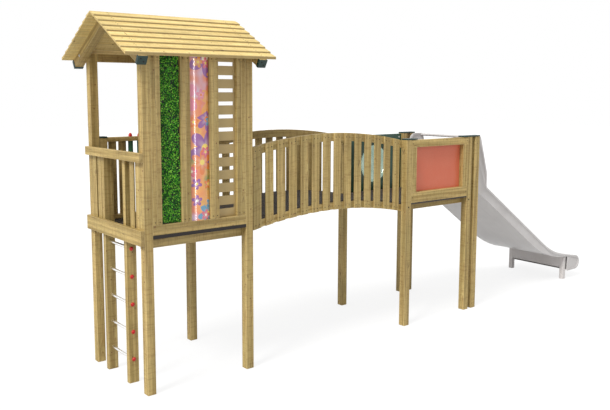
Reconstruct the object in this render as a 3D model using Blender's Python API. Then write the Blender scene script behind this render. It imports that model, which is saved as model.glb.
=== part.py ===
"""A timber play tower: a roofed tower with a ladder, an arched bridge, a low tower and a wide slide.

Sizes are in metres. The pieces are laid out from the outer corner of the front left post: X runs
from the ladder side to the slide, Y from the panelled front to the back, Z up from the ground.
A parent empty then moves the layout, so that the world origin is on the ground in the middle.
"""

import math

import bmesh
import bpy
from mathutils import Matrix, Vector

GAP = 0.0003  # between pieces that touch
EDGE_EASE = 0.003  # small chamfer along the edges of the timber

# Timber posts and the square grid that they stand on
POST = 0.095
BAY = 1.248  # from one post to the next, corner to corner
LOW_POST_RISE = 0.842  # above the deck
TWIN_SPACE = 0.069  # between the two posts of a pair at the slide

# Decks
DECK_TOP = 1.675
DECK_THICKNESS = 0.020
BEARER_THICKNESS = 0.045
TALL_BEARER_HEIGHT = 0.120
LOW_BEARER_HEIGHT = 0.085

# Roof of the tall tower
RIDGE_HEIGHT = 3.973
ROOF_PITCH = math.radians(30.0)
EAVE_OVERHANG = 0.129
GABLE_OVERHANG = 0.229
ROOF_BOARD_COUNT = 8  # on each slope
BOARD_THIN_EDGE = 0.012
BOARD_THICK_EDGE = 0.026
RAFTER_WIDTH = 0.095
RAFTER_DEPTH = 0.090
TAIL_OUT = 0.145  # the top of a rafter's end beyond the face of the posts
TAIL_CAP_THICKNESS = 0.006  # over the end of the rafter
TAIL_CAP_WALL = 0.004
TAIL_CAP_WRAP = 0.032  # along the rafter's sides
HEADER_HEIGHT = 0.088
HEADER_THICKNESS = 0.045
POST_HEAD_SPACE = 0.006  # between a tall post and the roof boards
WALL_HEAD_SPACE = 0.004  # between the wall's top and the level of the posts' tops

# Front wall of the tall tower: four uprights, and three bays between them
WALL_DEPTH = 0.070
WALL_UPRIGHT = 0.110
WALL_FOOT_RAIL = 0.110
WALL_HEAD_RAIL = 0.045
GRASS_SETBACK = 0.022
GRASS_THICKNESS = 0.040
PRINT_SETBACK = 0.030
PRINT_BULGE = 0.028
PRINT_THICKNESS = 0.012
SLOTTED_SETBACK = 0.045
SLOTTED_THICKNESS = 0.018
SLOT_HEIGHT = 0.041
SLOT_PITCH = 0.1405
SLOT_SIDE = 0.016
SLOT_TOP_MARGIN = 0.055
SLOT_BOTTOM_MARGIN = 0.050

# Entry side above the ladder, with heights above the deck
SIDE_BOARD_THICKNESS = 0.045
SIDE_BEAM_RISE = 0.069
SIDE_BEAM_HEIGHT = 0.160
HANDRAIL_RISE = 0.857
HANDRAIL_HEIGHT = 0.095
ENTRY_SLAT_COUNT = 2  # on each side of the entry
ENTRY_SLAT_WIDTH = 0.090
ENTRY_SLAT_SPACE = 0.040
ENTRY_SLAT_THICKNESS = 0.018
ENTRY_SLAT_EDGE = 0.003  # between the outer slat and the post
ENTRY_SLAT_INSET = 0.030  # from the slats' ends to the edges of the boards that carry them
CLEAT_HEIGHT = 0.040
CLEAT_THICKNESS = 0.018
CLEAT_SPACE = 0.015  # above the deck, and below the slats' ends

# Ladder
STRINGER_WIDTH = 0.060
STRINGER_DEPTH = 0.115
STRINGER_DROP = 0.032  # from the handrail's top down to the stringer's
FRONT_STRINGER_SPACE = 0.112  # from the front slats
BACK_STRINGER_SPACE = 0.012  # from the back slats
RUNG_RADIUS = 0.017
RUNG_CLEARANCE = 0.0004
FIRST_RUNG_HEIGHT = 0.263
RUNG_PITCH = 0.305
TOP_RUNG_SPACE = 0.050  # at least, below the deck
RUNG_CAP_RADIUS = 0.023
RUNG_CAP_HEIGHT = 0.014

# Back barrier with turning rollers, with heights above the deck
NEWEL_RISE = 0.945
CAP_THICKNESS = 0.018
CAP_OVERHANG = 0.005
BARRIER_RISE = 0.950
BARRIER_RAIL_HEIGHT = 0.050
BARRIER_RAIL_DEPTH = 0.095
BARRIER_FOOT_HEIGHT = 0.045
BARRIER_SLAT_WIDTH = 0.094
BARRIER_SLAT_THICKNESS = 0.022
LEFT_SLAT_COUNT = 2
RIGHT_SLAT_COUNT = 3
ROLLER_COUNT = 4
ROLLER_RADIUS = 0.030
ROLLER_PITCH = 0.115
ROLLER_END_CLEARANCE = 0.0008
SPINDLE_RADIUS = 0.010
SPINDLE_CLEARANCE = 0.0008
SPINDLE_IN_FOOT = 0.025
KNOB_RADIUS = 0.023

# Bridge, with heights above the deck
BRIDGE_LENGTH = 2.487
BRIDGE_RISE = 0.137
BRIDGE_BEAM_HEIGHT = 0.090  # the lower rails, which carry the boards
PARAPET_RISE = 0.835
PARAPET_RAIL_HEIGHT = 0.100
PARAPET_LAP = 0.080  # of the upper rails along the inner faces of the posts
BRIDGE_RAIL_THICKNESS = 0.045
BRIDGE_SLAT_COUNT = 14
BRIDGE_SLAT_WIDTH = 0.110
BRIDGE_SLAT_THICKNESS = 0.018
BRIDGE_BOARD_COUNT = 20
BRIDGE_GROOVE_WIDTH = 0.006
BRIDGE_GROOVE_DEPTH = 0.008

# Panels of the low tower, with heights above the deck
LOW_PANEL_RISE = 0.837
LOW_FRAME_WIDTH = 0.095
LOW_FRAME_FOOT = 0.137
LOW_FRAME_DEPTH = 0.080
COLOUR_PANEL_THICKNESS = 0.010
COLOUR_PANEL_SETBACK = 0.068
BACK_PANEL_THICKNESS = 0.018
WINDOW_RISE = 0.405
WINDOW_RADIUS = 0.285
WINDOW_CLEARANCE = 0.0008
WINDOW_FLANGE_WIDTH = 0.030
WINDOW_DEPTH = 0.140
WINDOW_THICKNESS = 0.005

# Slide
CHUTE_SPACE = 0.035  # between the inner posts and the start of the chute
CHUTE_SIDE_SPACE = 0.005  # between the chute's rim and the posts beside it
CHUTE_SHEET = 0.006
CHUTE_WALL = 0.012
CHUTE_START_FLAT = 0.296
CHUTE_SLOPE = math.radians(34.4)
CHUTE_FOOT_HEIGHT = 0.447  # where the slope's line meets the exit's
CHUTE_TOP_RADIUS = 0.250
CHUTE_FOOT_RADIUS = 2.000
CHUTE_EXIT_SLOPE = math.radians(5.7)
CHUTE_EXIT_LENGTH = 0.890  # measured level
CHUTE_SIDE_HEIGHT = 0.192  # measured plumb on the slope, above the underside
CHUTE_WALL_DROP = 0.002  # the walls' lower edge below the bed
SHAPE_OFFSET = 0.001  # between the ends of shapes that are joined
RIM_WIDTH = 0.028
RIM_EXIT_SLOPE = math.radians(10.5)
RIM_FOOT_RADIUS = 1.600
RIM_OVER_LIP = 0.012
GUARD_RISE = 0.840  # above the deck
GUARD_LENGTH = 0.282
GUARD_LEAN = 0.175
GUARD_KNEE_RISE = 0.276  # above the deck
GUARD_BACK_RADIUS = 0.120
GUARD_FRONT_RADIUS = 0.050
GUARD_KNEE_RADIUS = 0.300
GRAB_BAR_RADIUS = 0.020
LIP_RADIUS = 0.105
LIP_RETURN = 0.235
LEG_SIZE = 0.070
LEG_SPACE = 0.005  # between the legs and the chute's walls and lip
LEG_BEAM_BOTTOM = 0.217

ROUND_STEPS = 16
ARC_STEPS = 6

# Places that follow from the sizes above
OUTER = BAY + POST
MIDDLE = OUTER / 2
DECK_BOTTOM = DECK_TOP - DECK_THICKNESS
LOW_START = OUTER + BRIDGE_LENGTH
TWIN_START = LOW_START + OUTER + TWIN_SPACE
CHUTE_START = LOW_START + OUTER + CHUTE_SPACE
SLIDE_SIDE = POST + CHUTE_SIDE_SPACE
ROOF_COS, ROOF_SIN, ROOF_TAN = math.cos(ROOF_PITCH), math.sin(ROOF_PITCH), math.tan(ROOF_PITCH)
ROOF_APEX = RIDGE_HEIGHT - BOARD_THIN_EDGE / ROOF_COS  # where the undersides of the slopes meet
EAVE_REACH = MIDDLE + EAVE_OVERHANG  # from the ridge, measured level
TALL_POST_TOP = ROOF_APEX - ROOF_TAN * MIDDLE - POST_HEAD_SPACE
WALL_TOP = TALL_POST_TOP - WALL_HEAD_SPACE
WALL_BAY = (BAY - POST - 2 * GAP - 4 * WALL_UPRIGHT) / 3
HANDRAIL_TOP = DECK_TOP + HANDRAIL_RISE
BARRIER_TOP = DECK_TOP + BARRIER_RISE
PARAPET_TOP = DECK_TOP + PARAPET_RISE
LOW_POST_TOP = DECK_TOP + LOW_POST_RISE
LOW_PANEL_TOP = DECK_TOP + LOW_PANEL_RISE


def flat(x, z):
    """A point of an outline that is drawn in two of the three directions."""
    return Vector((x, z))


def turned_by(vector, angle):
    cosine, sine = math.cos(angle), math.sin(angle)
    return flat(vector.x * cosine - vector.y * sine, vector.x * sine + vector.y * cosine)


def rounded(corners, radii):
    """The line through the corners, with an arc of the given radius at each inner one."""
    path = [corners[0]]
    for before, corner, after, radius in zip(corners, corners[1:], corners[2:], radii):
        back, onward = (before - corner).normalized(), (after - corner).normalized()
        half = back.angle(onward) / 2
        centre = corner + (back + onward).normalized() * radius / math.sin(half)
        start = corner + back * radius / math.tan(half) - centre
        end = corner + onward * radius / math.tan(half) - centre
        turn = math.atan2(start.x * end.y - start.y * end.x, start.dot(end))
        path += [centre + turned_by(start, turn * step / ARC_STEPS) for step in range(ARC_STEPS + 1)]
    return path + [corners[-1]]


def beside(path, distance):
    """The path moved to its left by a distance, or to its right where that is negative."""
    moved = []
    for index, point in enumerate(path):
        arriving = (point - path[index - 1]).normalized() if index else None
        leaving = (path[index + 1] - point).normalized() if index + 1 < len(path) else None
        arriving, leaving = arriving or leaving, leaving or arriving
        along = (arriving + leaving).normalized()
        stretch = distance / max(along.dot(leaving), 0.5)
        moved.append(point + flat(-along.y, along.x) * stretch)
    return moved


def chute_corners():
    """Where the underside's straight lines would meet: top bend, foot bend and start of the lip."""
    top = flat(CHUTE_START + CHUTE_START_FLAT, DECK_TOP - CHUTE_SHEET)
    foot = flat(top.x + (top.y - CHUTE_FOOT_HEIGHT) / math.tan(CHUTE_SLOPE), CHUTE_FOOT_HEIGHT)
    lip = foot + CHUTE_EXIT_LENGTH * flat(1, -math.tan(CHUTE_EXIT_SLOPE))
    return top, foot, lip


def lip_centre():
    """Centre of the rolled lip at the chute's end."""
    across = flat(math.sin(CHUTE_EXIT_SLOPE), math.cos(CHUTE_EXIT_SLOPE))
    return chute_corners()[2] - across * (LIP_RADIUS - CHUTE_SHEET)


def lip_arc(radius):
    """The roll of the lip, from the exit's surface round to the level underside."""
    first, last = math.pi / 2 - CHUTE_EXIT_SLOPE, -math.pi / 2
    steps = 2 * ARC_STEPS
    angles = [first + (last - first) * step / steps for step in range(steps + 1)]
    return [lip_centre() + radius * flat(math.cos(angle), math.sin(angle)) for angle in angles]


CENTRE_X = (lip_centre().x + LIP_RADIUS + RIM_OVER_LIP - GABLE_OVERHANG) / 2


def clear_scene():
    for thing in list(bpy.data.objects):
        bpy.data.objects.remove(thing)


def layout_origin():
    """The empty that carries every piece and moves the layout to the world origin."""
    empty = bpy.data.objects.get("play_tower")
    if empty is None:
        empty = bpy.data.objects.new("play_tower", None)
        empty.location = (-CENTRE_X, -MIDDLE, 0)
        bpy.context.scene.collection.objects.link(empty)
    return empty


def make_material(name, colour, roughness, metallic=0.0, alpha=1.0):
    material = bpy.data.materials.get(name)
    if material is None:
        material = bpy.data.materials.new(name)
        material.use_nodes = True
        shader = material.node_tree.nodes["Principled BSDF"]
        shader.inputs["Base Color"].default_value = (*colour, 1.0)
        shader.inputs["Roughness"].default_value = roughness
        shader.inputs["Metallic"].default_value = metallic
        shader.inputs["Alpha"].default_value = alpha
        material.diffuse_color = (*colour, 1.0)
    return material


def pine():
    return make_material("pine", (0.50, 0.36, 0.17), 0.75)


def roof_board():
    return make_material("roof_board", (0.80, 0.62, 0.33), 0.70)


def dark_board():
    return make_material("dark_board", (0.03, 0.027, 0.025), 0.65)


def green_plastic():
    return make_material("green_plastic", (0.015, 0.085, 0.075), 0.45)


def green_tube():
    return make_material("green_tube", (0.02, 0.14, 0.09), 0.40)


def grass():
    return make_material("grass", (0.08, 0.20, 0.035), 0.95)


def printed_sheet():
    return make_material("printed_sheet", (0.72, 0.62, 0.70), 0.25)


def coral_sheet():
    return make_material("coral_sheet", (0.53, 0.14, 0.09), 0.45)


def clear_sheet():
    return make_material("clear_sheet", (0.60, 0.68, 0.62), 0.12, alpha=0.5)


def rung_steel():
    return make_material("rung_steel", (0.62, 0.60, 0.58), 0.40, metallic=0.6)


def slide_grey():
    return make_material("slide_grey", (0.50, 0.49, 0.47), 0.42)


def add_piece(name, bm, material, location=(0, 0, 0)):
    bmesh.ops.recalc_face_normals(bm, faces=bm.faces)
    mesh = bpy.data.meshes.new(name)
    bm.to_mesh(mesh)
    bm.free()
    mesh.materials.append(material)
    piece = bpy.data.objects.new(name, mesh)
    piece.location = location
    piece.parent = layout_origin()
    bpy.context.scene.collection.objects.link(piece)
    return piece


def box_into(bm, low, high):
    low, high = Vector(low), Vector(high)
    size = Matrix.Diagonal((*(high - low), 1))
    bmesh.ops.create_cube(bm, size=1, matrix=Matrix.Translation((low + high) / 2) @ size)


def prism_into(bm, outlines, axis, start, end):
    """A flat shape, its holes after its outline, extruded along X, Y or Z from start to end."""
    spots = {
        "x": lambda a, b, depth: (depth, a, b),
        "y": lambda a, b, depth: (a, depth, b),
        "z": lambda a, b, depth: (a, b, depth),
    }
    edges = []
    for outline in outlines:
        verts = [bm.verts.new(spots[axis](a, b, start)) for a, b in outline]
        edges += [bm.edges.new(pair) for pair in zip(verts, verts[1:] + verts[:1])]
    filled = bmesh.ops.triangle_fill(bm, use_beauty=True, edges=edges)
    faces = [piece for piece in filled["geom"] if isinstance(piece, bmesh.types.BMFace)]
    grown = bmesh.ops.extrude_face_region(bm, geom=faces)
    moved = [piece for piece in grown["geom"] if isinstance(piece, bmesh.types.BMVert)]
    bmesh.ops.translate(bm, verts=moved, vec=spots[axis](0, 0, end - start))


def rectangle(left, right, bottom, top):
    return [(left, bottom), (right, bottom), (right, top), (left, top)]


def board(name, low, high, material, eased=True):
    """A box-shaped piece with its origin in its middle."""
    low, high = Vector(low), Vector(high)
    bm = bmesh.new()
    box_into(bm, (low - high) / 2, (high - low) / 2)
    piece = add_piece(name, bm, material, (low + high) / 2)
    if eased:
        bevel = piece.modifiers.new("eased_edges", "BEVEL")
        bevel.width = EDGE_EASE
        bevel.segments = 1
    return piece


def prism(name, outlines, axis, start, end, material):
    bm = bmesh.new()
    prism_into(bm, outlines, axis, start, end)
    return add_piece(name, bm, material)


def turned(name, profile, material, location, steps=ROUND_STEPS):
    """A profile of radii and heights, closed at the axis, spun round the piece's own Z."""
    bm = bmesh.new()
    verts = [bm.verts.new((radius, 0, height)) for radius, height in profile]
    edges = [bm.edges.new(pair) for pair in zip(verts, verts[1:])]
    bmesh.ops.spin(
        bm, geom=verts + edges, cent=(0, 0, 0), axis=(0, 0, 1), angle=2 * math.pi, steps=steps,
        use_merge=True,
    )
    bmesh.ops.remove_doubles(bm, verts=bm.verts, dist=0.00001)
    piece = add_piece(name, bm, material, location)
    piece.data.shade_smooth()
    piece.data.set_sharp_from_angle(angle=math.radians(35))
    return piece


def combine(piece, helper, operation):
    """Joins the helper's shape to the piece, or cuts it out, and leaves the helper out of renders."""
    helper.hide_render = True
    helper.display_type = "WIRE"
    boolean = piece.modifiers.new(operation.lower(), "BOOLEAN")
    boolean.operation = operation
    boolean.solver = "EXACT"
    boolean.object = helper


def front_and_back(low_y, high_y):
    """The same depth at the front, and mirrored at the back."""
    return ("front", low_y, high_y), ("back", OUTER - high_y, OUTER - low_y)


def tall_posts():
    for side, x in (("left", 0), ("right", BAY)):
        for face, y_low, y_high in front_and_back(0, POST):
            name = f"tall_post_{face}_{side}"
            board(name, (x, y_low, 0), (x + POST, y_high, TALL_POST_TOP), pine())


def bearers(prefix, start, end, height):
    """Joists along X that carry a deck, on the inner faces of its posts."""
    for face, y_low, y_high in front_and_back(POST + GAP, POST + GAP + BEARER_THICKNESS):
        low = (start, y_low, DECK_BOTTOM - GAP - height)
        board(f"{prefix}_bearer_{face}", low, (end, y_high, DECK_BOTTOM - GAP), pine())


def stringer_places():
    """The two Y ranges of the ladder's sides, which stand between the slats of the entry."""
    step = ENTRY_SLAT_WIDTH + ENTRY_SLAT_SPACE
    slats = ENTRY_SLAT_EDGE + ENTRY_SLAT_COUNT * step - ENTRY_SLAT_SPACE
    front = POST + slats + FRONT_STRINGER_SPACE
    back = BAY - slats - BACK_STRINGER_SPACE
    return (front, front + STRINGER_WIDTH), (back - STRINGER_WIDTH, back)


def tower_deck():
    """The deck between the four posts, notched round them and round the ladder's sides."""
    left = ENTRY_SLAT_THICKNESS + 2 * GAP
    notch = POST + GAP
    right, inner = OUTER, BAY - GAP
    ladder = STRINGER_DEPTH + 2 * GAP
    (a, b), (c, d) = stringer_places()
    outline = [
        (notch, 0), (inner, 0), (inner, notch), (right, notch), (right, inner), (inner, inner),
        (inner, OUTER), (notch, OUTER), (notch, inner), (left, inner),
        (left, d + GAP), (ladder, d + GAP), (ladder, c - GAP), (left, c - GAP),
        (left, b + GAP), (ladder, b + GAP), (ladder, a - GAP), (left, a - GAP),
        (left, notch), (notch, notch),
    ]
    prism("tower_deck", [outline], "z", DECK_BOTTOM, DECK_TOP, dark_board())


def entry_boards():
    """The beam at the deck and the handrail, on the outer faces of the left posts."""
    beam_top = DECK_TOP + SIDE_BEAM_RISE
    for name, top, height in (
        ("entry_beam", beam_top, SIDE_BEAM_HEIGHT),
        ("entry_handrail", HANDRAIL_TOP, HANDRAIL_HEIGHT),
    ):
        board(name, (-SIDE_BOARD_THICKNESS, 0, top - height), (-GAP, OUTER, top), pine())


def entry_slats():
    """Upright slats on both sides of the entry, each group held by two cleats behind it."""
    bottom = DECK_TOP + SIDE_BEAM_RISE - SIDE_BEAM_HEIGHT + ENTRY_SLAT_INSET
    top = HANDRAIL_TOP - ENTRY_SLAT_INSET
    step = ENTRY_SLAT_WIDTH + ENTRY_SLAT_SPACE
    width = ENTRY_SLAT_COUNT * step - ENTRY_SLAT_SPACE
    start = POST + ENTRY_SLAT_EDGE
    cleats = (DECK_TOP + CLEAT_SPACE, top - CLEAT_SPACE - CLEAT_HEIGHT)
    for face, y_low, y_high in front_and_back(start, start + width):
        bm = bmesh.new()
        for index in range(ENTRY_SLAT_COUNT):
            y = y_low + index * step
            box_into(bm, (GAP, y, bottom), (ENTRY_SLAT_THICKNESS, y + ENTRY_SLAT_WIDTH, top))
        slats = add_piece(f"entry_slats_{face}", bm, pine())
        bm = bmesh.new()
        for z in cleats:
            low = (ENTRY_SLAT_THICKNESS / 2, y_low + ENTRY_SLAT_EDGE, z)
            far = ENTRY_SLAT_THICKNESS + CLEAT_THICKNESS
            box_into(bm, low, (far, y_high - ENTRY_SLAT_EDGE, z + CLEAT_HEIGHT))
        combine(slats, add_piece(f"entry_cleats_{face}_shape", bm, pine()), "UNION")


def rung_heights():
    count = int((DECK_BOTTOM - TOP_RUNG_SPACE - FIRST_RUNG_HEIGHT) / RUNG_PITCH) + 1
    return [FIRST_RUNG_HEIGHT + index * RUNG_PITCH for index in range(count)]


def ladder_stringers():
    """The ladder's sides, bored for the rungs, which rise to the handrail beside the entry."""
    bore = RUNG_RADIUS + RUNG_CLEARANCE
    angles = [2 * math.pi * step / ROUND_STEPS for step in range(ROUND_STEPS)]
    middle = GAP + STRINGER_DEPTH / 2
    outline = rectangle(GAP, GAP + STRINGER_DEPTH, 0, HANDRAIL_TOP - STRINGER_DROP)
    holes = [
        [(middle + bore * math.cos(angle), z + bore * math.sin(angle)) for angle in angles]
        for z in rung_heights()
    ]
    for face, (start, end) in zip(("front", "back"), stringer_places()):
        prism(f"ladder_stringer_{face}", [outline, *holes], "y", start, end, pine())


def ladder_rungs():
    """Round rungs that run through both sides and end in domed caps."""
    (start, _), (_, end) = stringer_places()
    near, far = -GAP, end - start + GAP
    dome = [math.pi / 2 * step / 4 for step in range(5)]
    rise = [(RUNG_CAP_RADIUS * math.sin(a), -RUNG_CAP_HEIGHT * math.cos(a)) for a in dome]
    profile = [(radius, near + height) for radius, height in rise]
    profile += [(RUNG_RADIUS, near), (RUNG_RADIUS, far)]
    profile += [(radius, far - height) for radius, height in reversed(rise)]
    for index, z in enumerate(rung_heights(), start=1):
        place = (GAP + STRINGER_DEPTH / 2, start, z)
        rung = turned(f"ladder_rung_{index}", profile, rung_steel(), place)
        rung.rotation_euler.x = -math.pi / 2


def wall_bays():
    """The X ranges of the three bays between the front wall's uprights."""
    first = POST + GAP + WALL_UPRIGHT
    step = WALL_BAY + WALL_UPRIGHT
    return [(first + index * step, first + index * step + WALL_BAY) for index in range(3)]


def bay_heights():
    return DECK_TOP + GAP + WALL_FOOT_RAIL, WALL_TOP - WALL_HEAD_RAIL


def wall_frame():
    bottom, top = bay_heights()
    outline = rectangle(POST + GAP, BAY - GAP, DECK_TOP + GAP, WALL_TOP)
    holes = [rectangle(left, right, bottom, top) for left, right in wall_bays()]
    prism("wall_frame", [outline, *holes], "y", 0, WALL_DEPTH, pine())


def grass_panel():
    left, right = wall_bays()[0]
    bottom, top = bay_heights()
    low = (left + GAP, GRASS_SETBACK, bottom + GAP)
    high = (right - GAP, GRASS_SETBACK + GRASS_THICKNESS, top - GAP)
    board("grass_panel", low, high, grass(), eased=False)


def print_column():
    """A bent sheet that bulges forward between its two upright edges."""
    left, right = wall_bays()[1]
    bottom, top = bay_heights()
    half = (right - left) / 2 - GAP
    radius = (half ** 2 + PRINT_BULGE ** 2) / (2 * PRINT_BULGE)
    centre = flat((left + right) / 2, PRINT_SETBACK - PRINT_BULGE + radius)
    reach = math.asin(half / radius)
    steps = 2 * ARC_STEPS
    angles = [reach * (2 * step / steps - 1) for step in range(steps + 1)]
    front = [centre + radius * flat(math.sin(angle), -math.cos(angle)) for angle in angles]
    rear = [flat(point.x, point.y + PRINT_THICKNESS) for point in reversed(front)]
    prism("print_column", [front + rear], "z", bottom + GAP, top - GAP, printed_sheet())


def slotted_panel():
    left, right = wall_bays()[2]
    bottom, top = bay_heights()
    space = top - bottom - SLOT_TOP_MARGIN - SLOT_BOTTOM_MARGIN - SLOT_HEIGHT
    outline = rectangle(left + GAP, right - GAP, bottom + GAP, top - GAP)
    count = int(space / SLOT_PITCH) + 1
    tops = [top - SLOT_TOP_MARGIN - index * SLOT_PITCH for index in range(count)]
    slots = [
        rectangle(left + SLOT_SIDE, right - SLOT_SIDE, slot_top - SLOT_HEIGHT, slot_top)
        for slot_top in tops
    ]
    depth = (SLOTTED_SETBACK, SLOTTED_SETBACK + SLOTTED_THICKNESS)
    prism("slotted_panel", [outline, *slots], "y", *depth, pine())


def roller_places():
    first = MIDDLE - ROLLER_PITCH * (ROLLER_COUNT - 1) / 2
    return [first + index * ROLLER_PITCH for index in range(ROLLER_COUNT)]


def spaced(start, end, count, width):
    """The starts of pieces of one width, spread evenly between two places."""
    space = (end - start - count * width) / (count + 1)
    return [start + space + index * (width + space) for index in range(count)]


def barrier_frame():
    """The barrier's rails and slats, with bores for the rollers' spindles."""
    left, right = 2 * POST + 2 * GAP, BAY - GAP
    foot = DECK_TOP + GAP
    y_low, y_high = BAY + (POST - BARRIER_RAIL_DEPTH) / 2, BAY + (POST + BARRIER_RAIL_DEPTH) / 2
    bm = bmesh.new()
    box_into(bm, (left, y_low, foot), (right, y_high, foot + BARRIER_FOOT_HEIGHT))
    box_into(bm, (left, y_low, BARRIER_TOP - BARRIER_RAIL_HEIGHT), (right, y_high, BARRIER_TOP))
    frame = add_piece("barrier_frame", bm, pine())
    rollers = roller_places()
    starts = spaced(left, rollers[0] - ROLLER_RADIUS, LEFT_SLAT_COUNT, BARRIER_SLAT_WIDTH)
    starts += spaced(rollers[-1] + ROLLER_RADIUS, right, RIGHT_SLAT_COUNT, BARRIER_SLAT_WIDTH)
    face = BAY + (POST - BARRIER_SLAT_THICKNESS) / 2
    bm = bmesh.new()
    for start in starts:
        low = (start, face, foot + BARRIER_FOOT_HEIGHT / 2)
        high = (start + BARRIER_SLAT_WIDTH, face + BARRIER_SLAT_THICKNESS,
                BARRIER_TOP - BARRIER_RAIL_HEIGHT / 2)
        box_into(bm, low, high)
    combine(frame, add_piece("barrier_slats_shape", bm, pine()), "UNION")
    bm = bmesh.new()
    bottom = foot + BARRIER_FOOT_HEIGHT - SPINDLE_IN_FOOT - ROLLER_END_CLEARANCE
    height = BARRIER_TOP + BARRIER_RAIL_HEIGHT - bottom
    for x in rollers:
        middle = Matrix.Translation((x, BAY + POST / 2, bottom + height / 2))
        bore = SPINDLE_RADIUS + SPINDLE_CLEARANCE
        bmesh.ops.create_cone(
            bm, cap_ends=True, segments=ROUND_STEPS, radius1=bore, radius2=bore, depth=height,
            matrix=middle,
        )
    combine(frame, add_piece("spindle_bores_shape", bm, pine()), "DIFFERENCE")


def rollers():
    """Tubes that turn on spindles in the barrier's rails, each with a round knob on top."""
    foot_top = DECK_TOP + GAP + BARRIER_FOOT_HEIGHT
    low = ROLLER_END_CLEARANCE
    high = BARRIER_TOP - BARRIER_RAIL_HEIGHT - ROLLER_END_CLEARANCE - foot_top
    knob_foot = BARRIER_TOP + ROLLER_END_CLEARANCE - foot_top
    start = math.asin(SPINDLE_RADIUS / KNOB_RADIUS)
    angles = [start + (math.pi - start) * step / 7 for step in range(8)]
    drop = KNOB_RADIUS * math.cos(start)
    profile = [
        (0, -SPINDLE_IN_FOOT), (SPINDLE_RADIUS, -SPINDLE_IN_FOOT), (SPINDLE_RADIUS, low),
        (ROLLER_RADIUS, low), (ROLLER_RADIUS, high), (SPINDLE_RADIUS, high),
    ]
    profile += [
        (KNOB_RADIUS * math.sin(angle), knob_foot + drop - KNOB_RADIUS * math.cos(angle))
        for angle in angles[:-1]
    ]
    profile += [(0, knob_foot + drop + KNOB_RADIUS)]
    for index, x in enumerate(roller_places(), start=1):
        turned(f"roller_{index}", profile, green_tube(), (x, BAY + POST / 2, foot_top))


def barrier_newel():
    top = DECK_TOP + NEWEL_RISE
    low, high = (POST + GAP, BAY, DECK_TOP + GAP), (2 * POST + GAP, OUTER, top)
    board("barrier_newel", low, high, pine())
    low = (low[0], BAY - CAP_OVERHANG, top + GAP)
    high = (high[0], OUTER + CAP_OVERHANG, top + GAP + CAP_THICKNESS)
    board("barrier_newel_cap", low, high, green_plastic())


def roof_underside(reach):
    """Height of a slope's underside at a level distance from the ridge."""
    return ROOF_APEX - ROOF_TAN * reach


def roof_slope(name, side):
    """Lapped boards: each one thins towards the ridge and is overlapped by the next."""
    reach = EAVE_REACH
    top = []
    for index in range(ROOF_BOARD_COUNT):
        low = reach * (1 - index / ROOF_BOARD_COUNT)
        high = reach * (1 - (index + 1) / ROOF_BOARD_COUNT)
        top.append((low, roof_underside(low) + BOARD_THICK_EDGE / ROOF_COS))
        top.append((high, roof_underside(high) + BOARD_THIN_EDGE / ROOF_COS))
    outline = [(GAP, roof_underside(GAP)), (reach, roof_underside(reach)), *top[:-1]]
    outline += [(GAP, roof_underside(GAP) + BOARD_THIN_EDGE / ROOF_COS)]
    placed = [(MIDDLE + side * away, z) for away, z in outline]
    prism(name, [placed], "x", -GABLE_OVERHANG, OUTER + GABLE_OVERHANG, roof_board())


def tail_corners():
    """A rafter's square end, as level distances from the ridge and heights: its top and bottom."""
    reach = MIDDLE + TAIL_OUT
    top = flat(reach, roof_underside(reach) - GAP / ROOF_COS)
    return top, top - RAFTER_DEPTH * flat(ROOF_SIN, ROOF_COS)


def gable_truss(name, start):
    """Two rafters that meet under the ridge, with square ends."""
    apex = ROOF_APEX - GAP / ROOF_COS
    half = [flat(0, apex), *tail_corners(), flat(0, apex - RAFTER_DEPTH / ROOF_COS)]
    outline = [(MIDDLE + point.x, point.y) for point in half]
    outline += [(MIDDLE - point.x, point.y) for point in reversed(half[1:-1])]
    prism(name, [outline], "x", start, start + RAFTER_WIDTH - GAP, pine())


def rafter_cap(name, start, side):
    """A cup over the end of a rafter, with a floor and two side walls that wrap around it."""
    top, bottom = tail_corners()
    out, down = flat(ROOF_COS, -ROOF_SIN), -flat(ROOF_SIN, ROOF_COS)

    def cup(end_space, floor_space, wrap):
        tip, heel = end_space * out, floor_space * down
        corners = [top + tip, bottom + tip + heel, bottom + heel - wrap * out, top - wrap * out]
        return [(MIDDLE + side * point.x, point.y) for point in corners]

    shell = cup(GAP + TAIL_CAP_THICKNESS, GAP + TAIL_CAP_WALL, TAIL_CAP_WRAP)
    room = cup(GAP, GAP, 2 * TAIL_CAP_WRAP)
    room[0], room[3] = [(y + side * ROOF_SIN * SHAPE_OFFSET, z + ROOF_COS * SHAPE_OFFSET)
                        for y, z in (room[0], room[3])]
    low, high = start - GAP, start + RAFTER_WIDTH
    cap = prism(name, [shell], "x", low - TAIL_CAP_WALL, high + TAIL_CAP_WALL, green_plastic())
    combine(cap, prism(f"{name}_room_shape", [room], "x", low, high, green_plastic()), "DIFFERENCE")


def roof():
    roof_slope("roof_slope_front", -1)
    roof_slope("roof_slope_back", 1)
    for gable, start in (("left", -RAFTER_WIDTH), ("right", OUTER + GAP)):
        gable_truss(f"gable_truss_{gable}", start)
        for face, side in (("front", -1), ("back", 1)):
            rafter_cap(f"rafter_cap_{face}_{gable}", start, side)


def eave_header():
    low = (POST + GAP, BAY, TALL_POST_TOP - HEADER_HEIGHT)
    board("eave_header_back", low, (BAY - GAP, BAY + HEADER_THICKNESS, TALL_POST_TOP), pine())


def arch(x):
    """Rise of the bridge's arc above its ends."""
    radius = (BRIDGE_LENGTH ** 2 / 4 + BRIDGE_RISE ** 2) / (2 * BRIDGE_RISE)
    away = x - OUTER - BRIDGE_LENGTH / 2
    return math.sqrt(radius ** 2 - away ** 2) - radius + BRIDGE_RISE


def arched_band(bottom, height, stops):
    """The outline of a band of one height that follows the arc through the stops."""
    lower = [(x, bottom + arch(x)) for x in stops]
    return lower + [(x, z + height) for x, z in reversed(lower)]


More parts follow.
